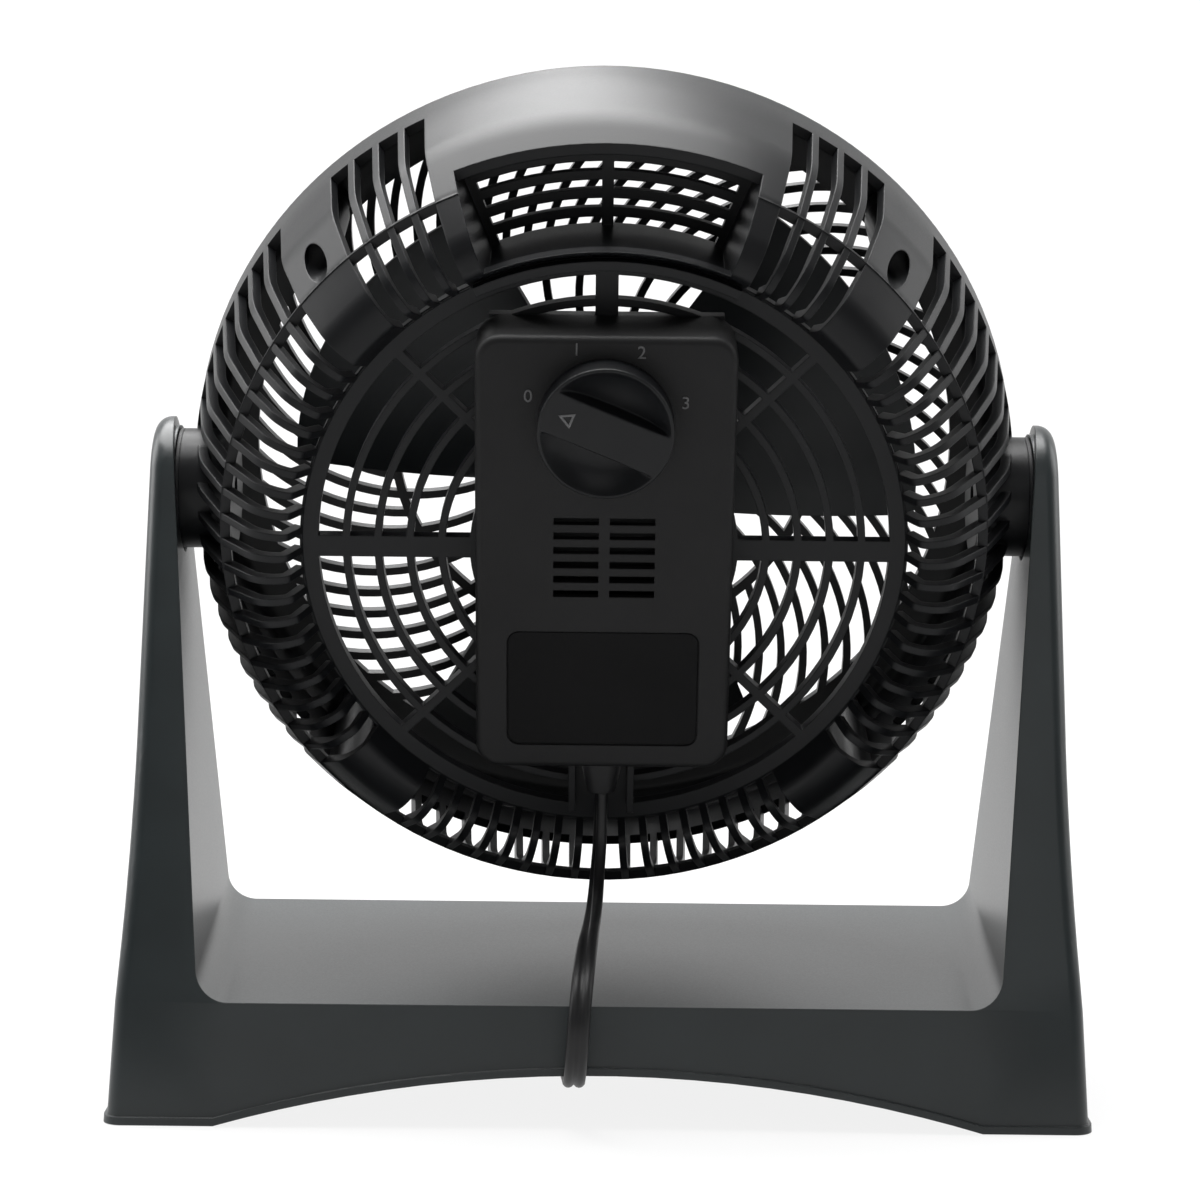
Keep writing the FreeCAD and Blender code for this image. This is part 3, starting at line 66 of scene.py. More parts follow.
def head_to_world(points: np.ndarray) -> np.ndarray:
    """Carry points of the head's own frame to the fan at rest.

    The head turns about the X axis through the pivot: y' = s cos - t sin, z' = s sin + t cos.

    Args:
        points: Rows of (across, along the air flow, up), in metres from the pivot.

    Returns:
        The same points in the frame of the whole fan.
    """
    c, s = math.cos(TILT), math.sin(TILT)
    turn = np.array([[1, 0, 0], [0, c, -s], [0, s, c]])
    return points @ turn.T + PIVOT


def grid_faces(rows: int, columns: int, wrap: bool) -> np.ndarray:
    """Quads of a grid of points, row by row.

    Args:
        rows: Number of rows of points.
        columns: Number of points in a row.
        wrap: Whether the last column joins the first.

    Returns:
        An array of four point numbers for each quad.
    """
    r, c = np.meshgrid(np.arange(rows - 1), np.arange(columns if wrap else columns - 1), indexing="ij")
    after = (c + 1) % columns
    corners = [r * columns + c, r * columns + after, (r + 1) * columns + after, (r + 1) * columns + c]
    return np.stack(corners, axis=-1).reshape(-1, 4)


def proper_triangles(triangles: np.ndarray) -> np.ndarray:
    """Leave out triangles with two corners in one point.

    Args:
        triangles: Rows of three point numbers.

    Returns:
        The rows whose three numbers differ.
    """
    a, b, c = triangles.T
    return triangles[(a != b) & (b != c) & (c != a)]


def mesh_points(mesh: bpy.types.Mesh) -> np.ndarray:
    """Read the points of a mesh.

    Args:
        mesh: The mesh.

    Returns:
        Rows of three coordinates, in metres.
    """
    points = np.zeros(len(mesh.vertices) * 3)
    mesh.vertices.foreach_get("co", points)
    return points.reshape(-1, 3)


def curve_mesh(curve: bpy.types.Curve) -> bpy.types.Mesh:
    """Make a mesh of a curve or a text, through a holder that is removed again.

    Args:
        curve: The curve or text.

    Returns:
        The new mesh.
    """
    holder = bpy.data.objects.new(curve.name, curve)
    bpy.context.scene.collection.objects.link(holder)
    bpy.context.view_layer.update()
    mesh = bpy.data.meshes.new_from_object(holder.evaluated_get(bpy.context.evaluated_depsgraph_get()))
    bpy.data.objects.remove(holder)
    return mesh


def mesh_piece(name: str, points: np.ndarray, faces: list, material: bpy.types.Material) -> bpy.types.Object:
    """Make an object at the origin from points and faces, shaded smooth.

    Args:
        name: Name of the piece.
        points: Rows of three coordinates, in metres.
        faces: Lists of point numbers.
        material: Its finish.

    Returns:
        The new object, linked to the scene.
    """
    mesh = bpy.data.meshes.new(name)
    mesh.from_pydata(points.tolist(), [], faces)
    mesh.polygons.foreach_set("use_smooth", np.ones(len(mesh.polygons), bool))
    mesh.materials.append(material)
    mesh.validate()
    mesh.update()
    piece = bpy.data.objects.new(name, mesh)
    bpy.context.scene.collection.objects.link(piece)
    return piece


def keep_sharp(piece: bpy.types.Object) -> None:
    """Shade a piece smooth up to the sharp angle.

    Args:
        piece: The piece.
    """
    piece.data.set_sharp_from_angle(angle=math.radians(SHARP_ANGLE))


def tube_piece(name: str, rings: np.ndarray, material: bpy.types.Material) -> bpy.types.Object:
    """Close a stack of rings into a tube with a cap at each end.

    Args:
        name: Name of the piece.
        rings: An array of rings by points by three coordinates.
        material: Its finish.

    Returns:
        The new object.
    """
    count, around = rings.shape[:2]
    faces = grid_faces(count, around, True).tolist()
    faces.append(list(range(around))[::-1])
    faces.append([(count - 1) * around + i for i in range(around)])
    return mesh_piece(name, rings.reshape(-1, 3), faces, material)


def closed_piece(name: str, grids: list[np.ndarray], wraps: list[bool],
                 material: bpy.types.Material) -> bpy.types.Object:
    """Join grids of points into one closed surface.

    Equal points become one and empty triangles are left out. The volume under the triangles, which is the
    sum of p . (q x r), tells whether they have to be turned over.

    Args:
        name: Name of the piece.
        grids: Arrays of rows by columns by three coordinates, in metres.
        wraps: For each grid, whether its last column joins its first.
        material: Its finish.

    Returns:
        The new object, with its faces turned outwards.
    """
    quads, points, start = [], [], 0
    for grid, wrap in zip(grids, wraps):
        quads.append(grid_faces(grid.shape[0], grid.shape[1], wrap) + start)
        points.append(grid.reshape(-1, 3))
        start += len(points[-1])
    corners = np.concatenate(quads)
    steps = np.round(np.concatenate(points) * GRID_STEPS).astype(np.int64)
    unique, inverse = np.unique(steps, axis=0, return_inverse=True)
    halves = np.concatenate([corners[:, [0, 1, 2]], corners[:, [0, 2, 3]]])
    triangles = proper_triangles(inverse.reshape(-1)[halves])
    place = unique / GRID_STEPS
    p, q, r = (place[triangles[:, i]] - place.mean(axis=0) for i in range(3))
    if (p * np.cross(q, r)).sum() < 0:
        triangles = triangles[:, ::-1]
    piece = mesh_piece(name, place, triangles.tolist(), material)
    keep_sharp(piece)
    return piece


@dataclass(frozen=True)
class GrainSizes:
    """Sizes of a grain: noise scale per metre, spread of the roughness, and bump height in metres."""

    scale: float
    spread: float
    depth: float


class Grain(Enum):
    """How the surface of a moulding or a metal piece is broken up."""

    SATIN = GrainSizes(1900.0, 0.07, 0.00003)
    SPARK = GrainSizes(2600.0, 0.10, 0.00007)
    RUBBER = GrainSizes(1500.0, 0.08, 0.00005)
    BRUSHED = GrainSizes(700.0, 0.10, 0.00002)
    PLAIN = GrainSizes(900.0, 0.05, 0.00001)


@dataclass(frozen=True)
class Finish:
    """A procedural finish: two close colours mixed by noise, with roughness and bump from finer noise."""

    name: str
    colour: tuple[float, float, float]
    roughness: float
    grain: Grain = Grain.SATIN
    metallic: float = 0.0
    specular: float = 0.5
    drift: float = 0.16
    tone_scale: float = 28.0
    tone_detail: float = 3.0
    tone_ends: tuple[float, float] = (0.3, 0.7)
    grain_detail: float = 4.0
    grain_strength: float = 0.6
    least_roughness: float = 0.02
    brush_stretch: tuple[float, float, float] = (0.06, 1.0, 1.0)
    edge_round: float = 0.0006
    edge_samples: int = 4

    def material(self) -> bpy.types.Material:
        """Build the material, or give the one already built.

        Returns:
            The material that all pieces with this finish share.
        """
        known = bpy.data.materials.get(self.name)
        if known:
            return known
        material = bpy.data.materials.new(self.name)
        material.use_nodes = True
        tree = material.node_tree
        shader = tree.nodes["Principled BSDF"]
        shader.inputs["Metallic"].default_value = self.metallic
        shader.inputs["Specular IOR Level"].default_value = self.specular
        coords = tree.nodes.new("ShaderNodeTexCoord").outputs["Object"]
        fine = self.noise(tree, self.stretched(tree, coords), self.grain.value.scale, self.grain_detail)
        tree.links.new(self.tone(tree, coords), shader.inputs["Base Color"])
        tree.links.new(self.sheen(tree, fine), shader.inputs["Roughness"])
        tree.links.new(self.relief(tree, fine), shader.inputs["Normal"])
        return material

    def tone(self, tree: bpy.types.NodeTree, coords: bpy.types.NodeSocket) -> bpy.types.NodeSocket:
        """Mix a darker and a lighter tone of the colour by broad noise.

        Args:
            tree: Nodes of the material.
            coords: Object coordinates.

        Returns:
            The mixed colour.
        """
        ramp = tree.nodes.new("ShaderNodeValToRGB")
        dark = [c * (1 - self.drift) for c in self.colour]
        light = [min(c * (1 + self.drift), 1.0) for c in self.colour]
        for stop, end, tone in zip(ramp.color_ramp.elements, self.tone_ends, (dark, light)):
            stop.position = end
            stop.color = (*tone, 1)
        tree.links.new(self.noise(tree, coords, self.tone_scale, self.tone_detail), ramp.inputs["Fac"])
        return ramp.outputs["Color"]

    def sheen(self, tree: bpy.types.NodeTree, fine: bpy.types.NodeSocket) -> bpy.types.NodeSocket:
        """Spread the roughness about its mean by fine noise.

        Args:
            tree: Nodes of the material.
            fine: Value of the fine noise.

        Returns:
            The roughness.
        """
        rough = tree.nodes.new("ShaderNodeMapRange")
        spread = self.grain.value.spread
        rough.inputs["To Min"].default_value = max(self.roughness - spread, self.least_roughness)
        rough.inputs["To Max"].default_value = min(self.roughness + spread, 1.0)
        tree.links.new(fine, rough.inputs["Value"])
        return rough.outputs["Result"]

    def relief(self, tree: bpy.types.NodeTree, fine: bpy.types.NodeSocket) -> bpy.types.NodeSocket:
        """Raise the grain on a surface whose edges look a little rounded.

        Args:
            tree: Nodes of the material.
            fine: Value of the fine noise.

        Returns:
            The normal.
        """
        bump = tree.nodes.new("ShaderNodeBump")
        bump.inputs["Strength"].default_value = self.grain_strength
        bump.inputs["Distance"].default_value = self.grain.value.depth
        tree.links.new(fine, bump.inputs["Height"])
        bevel = tree.nodes.new("ShaderNodeBevel")
        bevel.samples = self.edge_samples
        bevel.inputs["Radius"].default_value = self.edge_round
        tree.links.new(bevel.outputs["Normal"], bump.inputs["Normal"])
        return bump.outputs["Normal"]

    def stretched(self, tree: bpy.types.NodeTree, coords: bpy.types.NodeSocket) -> bpy.types.NodeSocket:
        """Draw the fine noise out along X for a brushed metal.

        Args:
            tree: Nodes of the material.
            coords: Object coordinates.

        Returns:
            The coordinates for the fine noise.
        """
        if self.grain is not Grain.BRUSHED:
            return coords
        mapping = tree.nodes.new("ShaderNodeMapping")
        mapping.inputs["Scale"].default_value = self.brush_stretch
        tree.links.new(coords, mapping.inputs["Vector"])
        return mapping.outputs["Vector"]

    @staticmethod
    def noise(tree: bpy.types.NodeTree, coords: bpy.types.NodeSocket, scale: float,
              detail: float) -> bpy.types.NodeSocket:
        """Add a noise texture.

        Args:
            tree: Nodes of the material.
            coords: Its coordinates.
            scale: Its scale, per metre.
            detail: Its number of finer layers.

        Returns:
            The value of the noise.
        """
        noise = tree.nodes.new("ShaderNodeTexNoise")
        noise.inputs["Scale"].default_value = scale
        noise.inputs["Detail"].default_value = detail
        tree.links.new(coords, noise.inputs["Vector"])
        return noise.outputs["Fac"]


STAND_SATIN = Finish("stand_satin", (0.0110, 0.0146, 0.0155), 0.33, Grain.SATIN, specular=0.42)
DRUM_SATIN = Finish("drum_satin", (0.0048, 0.0051, 0.0058), 0.38, Grain.SATIN, specular=0.18)
GRILLE_SATIN = Finish("front_grille_satin", (0.0075, 0.0078, 0.0085), 0.34, Grain.SATIN, specular=0.3)
BOX_GRAIN = Finish("box_grain", (0.0064, 0.0064, 0.0067), 0.50, Grain.SPARK, specular=0.16)
LABEL_FILM = Finish("label_film", (0.0038, 0.0038, 0.0040), 0.62, Grain.RUBBER, specular=0.08)
KNOB_SATIN = Finish("knob_satin", (0.0046, 0.0049, 0.0056), 0.34, Grain.SATIN, specular=0.19)
MARK_GREY = Finish("dial_mark_grey", (0.060, 0.060, 0.062), 0.50, Grain.PLAIN)
BLADE_SATIN = Finish("blade_satin", (0.010, 0.0115, 0.0125), 0.40, Grain.SATIN, specular=0.3)
SWITCH_NYLON = Finish("switch_nylon", (0.50, 0.50, 0.47), 0.55, Grain.PLAIN)
WASHER_NYLON = Finish("washer_nylon", (0.007, 0.007, 0.008), 0.50, Grain.PLAIN, specular=0.25)
PLUG_VINYL = Finish("plug_vinyl", (0.013, 0.013, 0.014), 0.46, Grain.RUBBER)
LEAD_VINYL = Finish("lead_vinyl", (0.0065, 0.0065, 0.007), 0.42, Grain.PLAIN, specular=0.3)
TIE_VINYL = Finish("tie_vinyl", (0.014, 0.014, 0.015), 0.50, Grain.PLAIN)
FOOT_RUBBER = Finish("foot_rubber", (0.014, 0.014, 0.014), 0.80, Grain.RUBBER)
SCREW_STEEL = Finish("screw_steel", (0.50, 0.50, 0.51), 0.34, Grain.BRUSHED, metallic=1.0)
BELL_ALUMINIUM = Finish("bell_aluminium", (0.56, 0.56, 0.57), 0.46, Grain.SPARK, metallic=1.0)
CORE_STEEL = Finish("core_steel", (0.20, 0.20, 0.21), 0.50, Grain.BRUSHED, metallic=0.8)
WINDING_COPPER = Finish("winding_copper", (0.45, 0.17, 0.07), 0.36, Grain.BRUSHED, metallic=0.8)
BUSHING_BRASS = Finish("bushing_brass", (0.64, 0.48, 0.20), 0.36, Grain.BRUSHED, metallic=1.0)


def smooth_skin(node: str, body: str, finish: Finish) -> bpy.types.Object:
    """Stand a merged, smoothly shaded copy of a CAD node in its place.

    Args:
        node: Name of the node.
        body: Body that it rides on.
        finish: Its finish.

    Returns:
        The copy, which replaces the node.
    """
    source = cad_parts[node].data
    corners = np.zeros(len(source.loops), np.int32)
    source.loops.foreach_get("vertex_index", corners)
    steps = np.round(mesh_points(source).astype(np.float32) * SKIN_STEPS).astype(np.int64)
    unique, inverse = np.unique(steps, axis=0, return_inverse=True)
    triangles = proper_triangles(inverse.reshape(-1)[corners].reshape(-1, 3))
    skin = mesh_piece(f"{node}_skin", unique / SKIN_STEPS, triangles.tolist(), finish.material())
    keep_sharp(skin)
    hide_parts(node)
    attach(skin, body)
    LOG.info("%s carries %s", skin.name, finish.name)
    return skin


def dress(finish: Finish, *nodes: str) -> None:
    """Put a finish on CAD nodes that stay as they are.

    Args:
        finish: The finish.
        nodes: Names of the nodes.
    """
    for node in nodes:
        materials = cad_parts[node].data.materials
        materials.clear()
        materials.append(finish.material())
        LOG.info("%s carries %s", node, finish.name)


@dataclass(frozen=True)
class Lamp:
    """A square soft lamp that faces a point of the fan."""

    name: str
    place: tuple[float, float, float]
    target: tuple[float, float, float]
    size: float
    power: float

    def hang(self) -> None:
        """Make the lamp and turn it to its target."""
        data = bpy.data.lights.new(self.name, "AREA")
        data.shape = "SQUARE"
        data.size = self.size
        data.energy = self.power
        lamp = bpy.data.objects.new(self.name, data)
        lamp.location = self.place
        away = Vector(self.place) - Vector(self.target)
        lamp.rotation_mode = "QUATERNION"
        lamp.rotation_quaternion = away.to_track_quat("Z", "Y")
        bpy.context.scene.collection.objects.link(lamp)
        LOG.info("%s hangs at %.2f m", self.name, self.place[2])


@dataclass
class Studio:
    """Camera, soft light, pale floor and backdrop.

    The lamps are one overhead beyond the fan, one at each side, and a weak one by the camera.
    """

    camera_place: tuple[float, float, float] = (-0.00329, -1.02901, 0.2607)
    pitch: float = 5.79
    yaw: float = 0.13
    roll: float = 0.64
    lens: float = 94.557
    sensor: float = 36.0
    clip_near: float = 0.05
    clip_far: float = 50.0
    lamps: tuple[Lamp, ...] = (
        Lamp("lamp_over", (-0.22, 0.28, 1.38), (0.0, 0.0, 0.2), 1.3, 54.0),
        Lamp("lamp_left", (-1.5, 0.4, 0.9), (0.0, 0.0, 0.15), 1.0, 16.0),
        Lamp("lamp_right", (1.5, 0.4, 0.9), (0.0, 0.0, 0.15), 1.0, 10.0),
        Lamp("lamp_near", (0.3, -1.7, 1.1), (0.0, 0.0, 0.15), 1.2, 3.5),
    )
    floor_half: float = 3.0
    wall_place: float = 1.6
    wall_height: float = 3.0
    sweep_radius: float = 0.6
    sweep_points: int = 17
    paper_tone: float = 0.86
    see_white: float = 0.86
    room_fade: tuple[float, float] = (-0.6, 0.5)
    room_levels: tuple[float, float] = (0.12, 0.8)

    def build(self) -> None:
        """Make the camera, the lamps, the world and the stage."""
        self.camera()
        for lamp in self.lamps:
            lamp.hang()
        self.world()
        self.stage()

    def camera(self) -> None:
        """Aim the camera: forward from yaw and pitch, then its side and top turned by the roll."""
        pitch, yaw, roll = (math.radians(a) for a in (self.pitch, self.yaw, self.roll))
        level = math.cos(pitch)
        forward = np.array([math.sin(yaw) * level, math.cos(yaw) * level, -math.sin(pitch)])
        side = np.array([math.cos(yaw), -math.sin(yaw), 0.0])
        top = np.cross(side, forward)
        right = side * math.cos(roll) + top * math.sin(roll)
        up = top * math.cos(roll) - side * math.sin(roll)
        data = bpy.data.cameras.new("photo_camera")
        data.lens = self.lens
        data.sensor_width = self.sensor
        data.clip_start = self.clip_near
        data.clip_end = self.clip_far
        camera = bpy.data.objects.new("photo_camera", data)
        matrix = np.eye(4)
        matrix[:3] = np.column_stack([right, up, -forward, self.camera_place])
        camera.matrix_world = Matrix(matrix.tolist())
        bpy.context.scene.collection.objects.link(camera)
        bpy.context.scene.camera = camera

    @staticmethod
    def seen_directly(tree: bpy.types.NodeTree) -> bpy.types.NodeSocket:
        """Tell rays from the camera, mirrors and glass from light that spreads.

        Args:
            tree: Nodes of a material.

        Returns:
            One for the former and zero for the latter.
        """
        path = tree.nodes.new("ShaderNodeLightPath")
        first = tree.nodes.new("ShaderNodeMath")
        second = tree.nodes.new("ShaderNodeMath")
        first.operation = second.operation = "MAXIMUM"
        tree.links.new(path.outputs["Is Camera Ray"], first.inputs[0])
        tree.links.new(path.outputs["Is Glossy Ray"], first.inputs[1])
        tree.links.new(first.outputs[0], second.inputs[0])
        tree.links.new(path.outputs["Is Transmission Ray"], second.inputs[1])
        return second.outputs[0]

    def world(self) -> None:
        """A dim world that darkens behind the camera and shows as plain white to the camera itself."""
        world = bpy.data.worlds.new("studio_world")
        bpy.context.scene.world = world
        world.use_nodes = True
        nodes, links = world.node_tree.nodes, world.node_tree.links
        nodes.clear()
        parts = nodes.new("ShaderNodeSeparateXYZ")
        links.new(nodes.new("ShaderNodeTexCoord").outputs["Generated"], parts.inputs[0])
        room = nodes.new("ShaderNodeMapRange")
        room.inputs["From Min"].default_value, room.inputs["From Max"].default_value = self.room_fade
        room.inputs["To Min"].default_value, room.inputs["To Max"].default_value = self.room_levels
        links.new(parts.outputs["Y"], room.inputs["Value"])
        dim = nodes.new("ShaderNodeBackground")
        white = nodes.new("ShaderNodeBackground")
        dim.inputs["Color"].default_value = white.inputs["Color"].default_value = WHITE
        links.new(room.outputs["Result"], dim.inputs["Strength"])
        mix = nodes.new("ShaderNodeMixShader")
        out = nodes.new("ShaderNodeOutputWorld")
        links.new(nodes.new("ShaderNodeLightPath").outputs["Is Camera Ray"], mix.inputs["Fac"])
        links.new(dim.outputs[0], mix.inputs[1])
        links.new(white.outputs[0], mix.inputs[2])
        links.new(mix.outputs[0], out.inputs["Surface"])

    def stage(self) -> None:
        """A floor that sweeps up into a backdrop: straight, a quarter circle, straight, drawn out along X."""
        turn = np.linspace(0, math.pi / 2, self.sweep_points)
        run_y = self.wall_place - self.sweep_radius + self.sweep_radius * np.sin(turn)
        run_z = self.sweep_radius - self.sweep_radius * np.cos(turn)
        y = np.concatenate([[-self.floor_half], run_y, [self.wall_place]])
        z = np.concatenate([[0.0], run_z, [self.wall_height]])
        x = np.array([-self.floor_half, self.floor_half])
        points = np.stack(np.broadcast_arrays(x[None, :], y[:, None], z[:, None]), axis=-1)
        faces = grid_faces(len(y), len(x), False).tolist()
        floor = mesh_piece("studio_floor", points.reshape(-1, 3), faces, self.paper())

    def paper(self) -> bpy.types.Material:
        """Pale paper: a diffuse face for light and shadow, mixed with white where it is seen directly.

        Returns:
            The material of the floor and the backdrop.
        """
        material = bpy.data.materials.new("studio_paper")
        material.use_nodes = True
        nodes, links = material.node_tree.nodes, material.node_tree.links
        nodes.clear()
        face = nodes.new("ShaderNodeBsdfDiffuse")
        face.inputs["Color"].default_value = (self.paper_tone, self.paper_tone, self.paper_tone, 1)
        glow = nodes.new("ShaderNodeEmission")
        glow.inputs["Color"].default_value = WHITE
        share = nodes.new("ShaderNodeMath")
        share.operation = "MULTIPLY"
        share.inputs[1].default_value = self.see_white
        mix = nodes.new("ShaderNodeMixShader")
        out = nodes.new("ShaderNodeOutputMaterial")
        links.new(self.seen_directly(material.node_tree), share.inputs[0])
        links.new(share.outputs[0], mix.inputs["Fac"])
        links.new(face.outputs[0], mix.inputs[1])
        links.new(glow.outputs[0], mix.inputs[2])
        links.new(mix.outputs[0], out.inputs["Surface"])
        return material


@dataclass
class MainsLead:
    """The flat twin lead, its coil, tie and plug. Sizes are in millimetres unless a field says otherwise.

    The listed points are the stretch from the strain relief over the base's edge to the coil, with Y from
    the pivot. In metres are the lengths along the lead, floor_from, floor_over and twist_length, and two
    heights, still_below and relief_margin.
    """

    exit_place: tuple[float, float, float] = (0.0, -60.0, -78.4)
    first_run: float = 16.0
    floor_height: float = 3.65
    by_hand: list = field(default_factory=lambda: [
        (-0.8, -33.4, 72.0), (-1.6, -45.2, 63.5), (-2.6, -60.0, 59.5), (-3.8, -77.0, 57.5),
        (-5.0, -94.4, 50.5), (-6.0, -102.4, 39.5), (-6.8, -101.4, 26.0), (-7.4, -92.0, 16.2),
        (-8.0, -78.5, 14.8), (-8.8, -63.0, 12.8), (-9.8, -44.0, 9.2), (-10.6, -22.0, 4.4),
    ])
    entry_run: float = 20.0
    coil_middle: tuple[float, float] = (36.0, 26.0)
    coil_radius: float = 46.0
    turn_pitch: float = 7.4
    layer_pitch: float = 5.5
    layer_turns: float = 2.5
    climb_turns: float = 0.5
    end_lead: float = 4.8
    points_each_turn: int = 16
    spline_order: int = 3
    spline_steps: int = 8
    spacing: float = 1.6
    half_width: float = 3.4
    lobe_radius: float = 1.75
    web_half: float = 0.8
    web_slope: float = 4.0
    section_points: int = 28
    floor_from: float = 0.20
    floor_over: float = 0.03
    twist_length: float = 0.12
    exit_turn: float = 78.0
    still_below: float = 0.060
    relief_margin: float = 0.004

    def build(self) -> None:
        line = self.line()
        lead = tube_piece("mains_lead", self.rings(line), LEAD_VINYL.material())
        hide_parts("cord_stretch", "cord_coil")
        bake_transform(lead)
        plug = smooth_skin("plug_body", "stand", PLUG_VINYL)
        blades = smooth_skin("plug_blades", "stand", BUSHING_BRASS)
        tie = smooth_skin("cord_tie", "stand", TIE_VINYL)
        smooth_skin("strain_relief", "head", LEAD_VINYL)

    def exit_point(self) -> np.ndarray:
        """The end of the strain relief, in the frame of the whole fan."""
        return head_to_world(np.array([self.exit_place]) / MM_IN_METRE)[0]

    @staticmethod
    def steps(line: np.ndarray) -> np.ndarray:
        """Length along a line at each of its points.

        Args:
            line: Points of the line.

        Returns:
            The sums of the lengths of its pieces, from zero.
        """
        return np.concatenate([[0.0], np.cumsum(np.linalg.norm(np.diff(line, axis=0), axis=1))])

    def coil_points(self) -> np.ndarray:
        """Points of the coil: inward on the floor, a smooth climb of half a turn, and outward on top.

        The radius shrinks by the pitch each turn, dips a little during the climb and grows by the pitch
        again. The height follows a smooth step during the climb.

        Returns:
            Rows of three coordinates, in millimetres.
        """
        total = 2 * self.layer_turns + self.climb_turns
        turns = np.linspace(0, total, int(total * self.points_each_turn) + 1)
        share = np.clip((turns - self.layer_turns) / self.climb_turns, 0, 1)
        inward = np.minimum(turns, self.layer_turns)
        outward = np.maximum(turns - self.layer_turns - self.climb_turns, 0)
        radius = self.coil_radius - self.turn_pitch * (inward - outward)
        radius -= self.turn_pitch * self.climb_turns * (share - share ** 2)
        angle = math.pi - 2 * math.pi * turns
        height = self.floor_height + self.layer_pitch * share ** 2 * (3 - 2 * share)
        x = self.coil_middle[0] + radius * np.cos(angle)
        y = self.coil_middle[1] + radius * np.sin(angle)
        return np.stack([x, y, height], axis=-1)

    def route(self) -> np.ndarray:
        """Control points of the lead: straight out of the strain relief, the listed points, and the coil.

        Returns:
            Rows of three coordinates, in metres.
        """
        start = self.exit_point()
        down = np.array([0.0, math.sin(TILT), -math.cos(TILT)])
        coil = self.coil_points()
        entry = coil[0] - [0, self.end_lead, 0]
        before = entry - [0, self.entry_run, 0]
        beyond = coil[-1] - [0, self.end_lead, 0]
        rest = np.concatenate([np.array(self.by_hand), [before, entry], coil[1:], [beyond]])
        rest = rest / MM_IN_METRE + [0, PIVOT[1], 0]
        return np.concatenate([[start, start + down * self.first_run / MM_IN_METRE], rest])

    def line(self) -> np.ndarray:
        """The lead's middle line: one smooth spline over the route's points, read back as even steps.

        Returns:
            Rows of three coordinates, in metres.
        """
        control = self.route()
        curve = bpy.data.curves.new("lead_route", "CURVE")
        curve.dimensions = "3D"
        curve.resolution_u = self.spline_steps
        spline = curve.splines.new("NURBS")
        spline.points.add(len(control) - 1)
        spline.points.foreach_set("co", np.column_stack([control, np.ones(len(control))]).ravel())
        spline.order_u = self.spline_order
        spline.use_endpoint_u = True
        mesh = curve_mesh(curve)
        points = mesh_points(mesh)
        bpy.data.meshes.remove(mesh)
        along = self.steps(points)
        even = np.linspace(0, along[-1], int(along[-1] * MM_IN_METRE / self.spacing))
        return np.stack([np.interp(even, along, points[:, i]) for i in range(3)], axis=-1)

    def section(self) -> np.ndarray:
        """The figure-of-eight section.

        Its points are x = w cos a, with y the height of the lobe circle or of the web, whichever is more.

        Returns:
            Rows of two coordinates, in metres.
        """
        angle = np.linspace(0, 2 * math.pi, self.section_points, endpoint=False)
        x = self.half_width * np.cos(angle)
        from_lobe = np.abs(x) - (self.half_width - self.lobe_radius)
        lobe = np.sqrt(np.maximum(self.lobe_radius ** 2 - from_lobe ** 2, 0))
        web = self.web_half * np.minimum(1, np.abs(np.sin(angle)) * self.web_slope)
        return np.stack([x, np.sign(np.sin(angle)) * np.maximum(lobe, web)], axis=-1) / MM_IN_METRE

    def rings(self, line: np.ndarray) -> np.ndarray:
        """Carry the section along the line.

        Its broad side lies level on the floor and turns edge on, by a smooth step, towards the strain relief.

        Args:
            line: Points of the middle line.

        Returns:
            An array of rings by points by three coordinates.
        """
        ahead = np.gradient(line, axis=0)
        ahead /= np.linalg.norm(ahead, axis=1, keepdims=True)
        level = np.cross(ahead, [0.0, 0.0, 1.0])
        across = np.array([1.0, 0.0, 0.0]) - ahead * ahead[:, :1]
        along = np.linspace(0, 1, len(line))[:, None] * self.steps(line)[-1]
        on_floor = np.clip((along - self.floor_from) / self.floor_over, 0, 1)
        broad = across * (1 - on_floor) + level * on_floor
        broad -= ahead * (broad * ahead).sum(axis=1, keepdims=True)
        broad /= np.linalg.norm(broad, axis=1, keepdims=True)
        thin = np.cross(ahead, broad)
        share = np.clip(along / self.twist_length, 0, 1)
        turn = (1 - share ** 2 * (3 - 2 * share)) * math.radians(self.exit_turn)
        wide = broad * np.cos(turn) + thin * np.sin(turn)
        flat = thin * np.cos(turn) - broad * np.sin(turn)
        x, y = self.section().T[:, None, :, None]
        return line[:, None, :] + wide[:, None, :] * x + flat[:, None, :] * y


@dataclass
class Stand:
    """The U-shaped stand with its rubber feet and pivot caps."""

    def build(self) -> None:
        """Dress the stand's nodes."""
        smooth_skin("stand", "stand", STAND_SATIN)
        smooth_skin("pivot_caps", "stand", STAND_SATIN)
        dress(FOOT_RUBBER, "rubber_feet")


@dataclass
class Drum:
    """The slotted drum, the front grille and their fasteners."""

    def build(self) -> None:
        """Dress the drum's nodes."""
        smooth_skin("rear_housing", "head", DRUM_SATIN)
        smooth_skin("front_grille", "head", GRILLE_SATIN)
        dress(SCREW_STEEL, "grille_screws", "pivot_bolts")
        dress(WASHER_NYLON, "pivot_washers")


